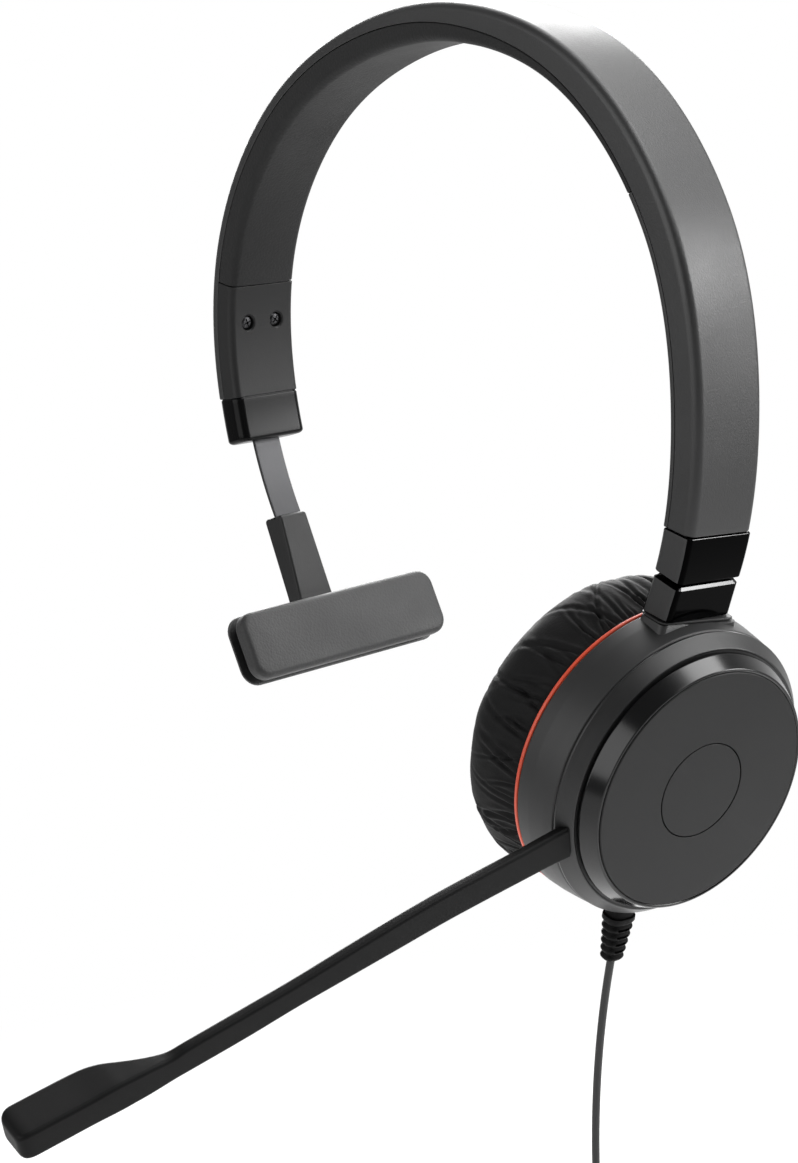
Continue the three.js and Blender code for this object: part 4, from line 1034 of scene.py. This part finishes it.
up2 = np.array([MD[1], -MD[0]])
for x, hz, y0, y1 in mic:
    c = P0 + MD * x
    rows.append([*(c + up2 * hz), *(c - up2 * hz), -y0, -y1])
rows = smooth_line(np.array(rows), 150)
endc = (rows[-1][:2] + rows[-1][2:4]) / 2
tipx = [(29.6, 4.02, 12.48, 0), (30.2, 4.08, 12.35, 0.03), (30.7, 4.2, 12.1, 0.08), (31.1, 4.35, 11.8, 0.18), (31.45, 4.6, 11.45, 0.35), (31.7, 4.9, 11.0, 0.6), (31.85, 5.3, 10.5, 0.95), (31.92, 5.8, 10.0, 1.35)]
extra = []
for x, y0, y1, ins in tipx:
    c = P0 + MD * x
    extra.append([*(c + up2 * (2.62 - ins)), *(c - up2 * (2.62 - ins)), -y0, -y1])
rows = np.concatenate([rows, extra])
loops = []
for tf, td, lf, ld, so, si in rows:
    t, l = np.array([tf, td]), np.array([lf, ld])
    hgt, thick = np.linalg.norm(l - t), so - si
    p = round_poly([(0, 0), (hgt, 0), (hgt, thick), (0, thick)], [min(0.75, 0.42 * min(hgt, thick)), min(0.75, 0.42 * min(hgt, thick)), min(0.8, 0.42 * thick), min(0.8, 0.42 * thick)], 5)
    fd = t + (l - t) / hgt * p[:, :1]
    loops.append(np.column_stack([-fd[:, 0], -fd[:, 1], so - p[:, 1]]))
bv_, bf_ = rings(loops)
boom = make("boom_arm_and_microphone_head", place(bv_, CUP), bf_, M["boom_plastic"], sharp=50)
MICF = (np.column_stack([place([(-MD[0], -MD[1], 0)], (CUP[0], np.zeros(3)))[0], place([(0, 0, -1)], (CUP[0], np.zeros(3)))[0], place([(MD[1], -MD[0], 0)], (CUP[0], np.zeros(3)))[0]]),
        cup_local(-P0[0], -P0[1], 0))
pocket = prism(round_poly([(18.0, -1.75), (29.4, -1.75), (29.4, 1.75), (18.0, 1.75)], 0.9, 5), 6.2, 14, 0, axes=(MICF[0][:, [0, 2, 1]], MICF[1]))
boolean(boom, [pocket], sharp=50)
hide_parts("boom_arm", "mic_housing")
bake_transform(boom)

# grille over the microphone: a frame with a lattice of bars
parts = []
g0 = round_poly([(18.2, -1.55), (29.2, -1.55), (29.2, 1.55), (18.2, 1.55)], 0.75, 4)
gi = inset(g0, 0.35)
GA = (MICF[0][:, [0, 2, 1]], MICF[1])
fr_l = [np.column_stack([a, np.full(len(a), h)]) for a, h in ((g0, 11.3), (g0, 12.2), (gi, 12.2), (gi, 11.3))]
v, f = rings(fr_l, around=True)
parts.append((place(v, GA), f))
for k in range(13):
    x = 18.95 + k * 0.79
    v, f = box_mesh(x - 0.13, x + 0.13, -1.3, 1.3, 11.45, 12.05)
    parts.append((place(v, GA), f))
for y in (-0.65, 0.0, 0.65):
    v, f = box_mesh(18.4, 29.0, y - 0.1, y + 0.1, 11.5, 11.95)
    parts.append((place(v, GA), f))
v, f = box_mesh(18.45, 28.95, -1.3, 1.3, 10.9, 11.2)
gr = make("microphone_grille_lattice", *join_parts(parts), M["boom_plastic"])
piece(gr, "boom", "acoustic_fabric", "mic_grille")
gf = make("microphone_dust_cloth", place(v, GA), f, M["acoustic_fabric"])
piece(gf, "boom", "acoustic_fabric")

# ----------------------------------------------------------------- ear cushion
CUSH = [(27.7, -17.75), (28.3, -17.95), (28.95, -18.9), (29.5, -21.0), (30.35, -24.0), (30.55, -27.9), (29.5, -31.1), (27.2, -33.6), (24.0, -34.7), (20.4, -34.5), (17.4, -33.2), (14.8, -31.6), (13.0, -29.2), (12.15, -26.2), (12.05, -22.0), (12.05, -17.85)]
open_line = smooth_line(CUSH, 110)
NU = 900
seg_len = np.concatenate([[0], np.cumsum(np.linalg.norm(np.diff(open_line, axis=0), axis=1))])
nrm = np.zeros_like(open_line)
tan = np.gradient(open_line, axis=0)
nrm[:, 0], nrm[:, 1] = -tan[:, 1], tan[:, 0]
nrm /= np.linalg.norm(nrm, axis=1)[:, None]
if nrm[30, 0] < 0:
    nrm *= -1
rng = random.Random(11)
theta = np.linspace(0, 2 * math.pi, NU, endpoint=False)
dep = np.zeros((NU, len(open_line)))
vv = seg_len[None, :]
th = theta[:, None]


def wrap(a):
    return (a + math.pi) % (2 * math.pi) - math.pi


NP = 104
for k in range(NP):                                  # pleats gathered into the red ring's seam
    t0 = 2 * math.pi * (k + rng.uniform(-0.36, 0.36)) / NP
    amp = rng.uniform(0.12, 0.55)
    Lp = rng.uniform(2.5, 11.5)
    wd = rng.uniform(0.008, 0.019)
    slope = rng.uniform(-0.012, 0.012)
    curve = rng.uniform(-0.0008, 0.0008)
    v0 = rng.uniform(0.2, 2.5)
    c = t0 + slope * vv + curve * vv * vv
    d = wrap(th - c) / (wd * (0.8 + 0.04 * vv))
    along_v = np.where(vv < v0 + 1.5, np.clip((vv + 0.3) / (v0 + 1.8), 0, 1), np.exp(-((vv - v0 - 1.5) / Lp) ** 2))
    dep += amp * along_v * (-np.exp(-d * d) + 0.55 * np.exp(-((np.abs(d) - 1.9) / 1.1) ** 2))
NP2 = 46
total = seg_len[-1]
for k in range(NP2):                                 # softer pleats into the hole
    t0 = 2 * math.pi * (k + rng.uniform(-0.36, 0.36)) / NP2
    amp, Lp, wd = rng.uniform(0.15, 0.42), rng.uniform(5, 12), rng.uniform(0.035, 0.055)
    c = t0 + rng.uniform(-0.01, 0.01) * (total - vv)
    d = wrap(th - c) / wd
    w0 = total - 12.0
    along_v = np.exp(-((vv - w0) / Lp) ** 2)
    dep += amp * along_v * (-np.exp(-d * d) + 0.5 * np.exp(-((np.abs(d) - 1.9) / 1.1) ** 2))
for k in range(9):                                   # slow unevenness of the filling
    n_, ph, a_ = rng.randint(3, 17), rng.uniform(0, 6.28), rng.uniform(0.02, 0.09)
    dep += a_ * np.sin(n_ * th + ph + 0.12 * vv) * np.sin(np.clip(vv / total, 0, 1) * math.pi)
fade = np.clip(vv / 1.2, 0, 1) * np.clip((total - vv) / 4.0, 0, 1)
dep = np.clip(dep, -1.0, 0.55) * fade
R = open_line[None, :, 0] + nrm[None, :, 0] * dep
S = open_line[None, :, 1] + nrm[None, :, 1] * dep
loops = []
for i in range(NU):
    loops.append(np.column_stack([R[i] * math.cos(theta[i]), R[i] * math.sin(theta[i]), S[i]]))
cv, cf = rings(loops, around=True)
cush = make("pleated_ear_cushion", place(cv, CUP), cf, M["pleated_leatherette"], sharp=75, weighted=False)
piece(cush, "cup", "pleated_leatherette", "ear_cushion")

NC, loops = 40, []
for k in range(NC):
    r = 11.75 * (1 - k / (NC - 1)) + 0.02
    a = theta[::10]
    z = -29.9 - 0.9 * (1 - (r / 11.75) ** 2)
    loops.append(np.column_stack([r * np.cos(a), r * np.sin(a), np.full(len(a), z)]))
back = [np.column_stack([l[:, 0], l[:, 1], np.full(len(l), -29.75)]) for l in (loops[0] * 0.985, loops[-1])]
v, f = rings([back[1], back[0]] + loops)
cl = make("acoustic_cloth_disc", place(v, CUP), f, M["acoustic_fabric"], sharp=60)
piece(cl, "cup", "acoustic_fabric", "acoustic_cloth")
# --------------------------------------------------------------- strain relief
def rsec(y, hx, hz, p=2.7, n=56):
    t = np.arange(n) * 2 * math.pi / n
    c, s = np.cos(t), np.sin(t)
    x, z = hx * np.sign(c) * np.abs(c) ** (2 / p), hz * np.sign(s) * np.abs(s) ** (2 / p)
    return np.column_stack([x + EXIT[0], np.full(n, y), z + EXIT[2]])


rows_ = [(-27.4, 2.6, 2.2), (-30.4, 2.6, 2.2), (-30.5, 3.1, 2.55), (-31.4, 3.15, 2.55)]
for i in range(1, 120):                              # four bellows-like ribs, tapering to a rounded end
    y = -31.4 - 8.3 * i / 120
    u = (y + 31.4) / -8.3
    w = 3.12 - 0.85 * u
    g = 0.5 + 0.5 * math.cos(2 * math.pi * 5 * u)
    w -= 0.52 * (1 - g ** 0.6) * (1 - 0.25 * u)
    rows_.append((y, w, w * 0.80))
rows_ += [(-39.9, 2.2, 1.75), (-40.2, 1.95, 1.55), (-40.4, 1.5, 1.25), (-40.48, 1.0, 0.95)]
rv, rf = rings([rsec(*r) for r in rows_])
relief = make("cord_strain_relief", place(rv, CUP), rf, M["black_rubber"], sharp=60)
slots = []
for i in range(4):
    y = -33.05 - 1.66 * i
    w = 1.5 - 0.12 * i
    slots.append(box_mesh(EXIT[0] - w, EXIT[0] + w, y - 0.27, y + 0.27, EXIT[2] + 1.2, EXIT[2] + 4, CUP))
    slots.append(box_mesh(EXIT[0] - w, EXIT[0] + w, y - 0.27, y + 0.27, EXIT[2] - 4, EXIT[2] - 1.2, CUP))
boolean(relief, slots, sharp=50)
piece(relief, "cup", "black_rubber", "strain_relief")
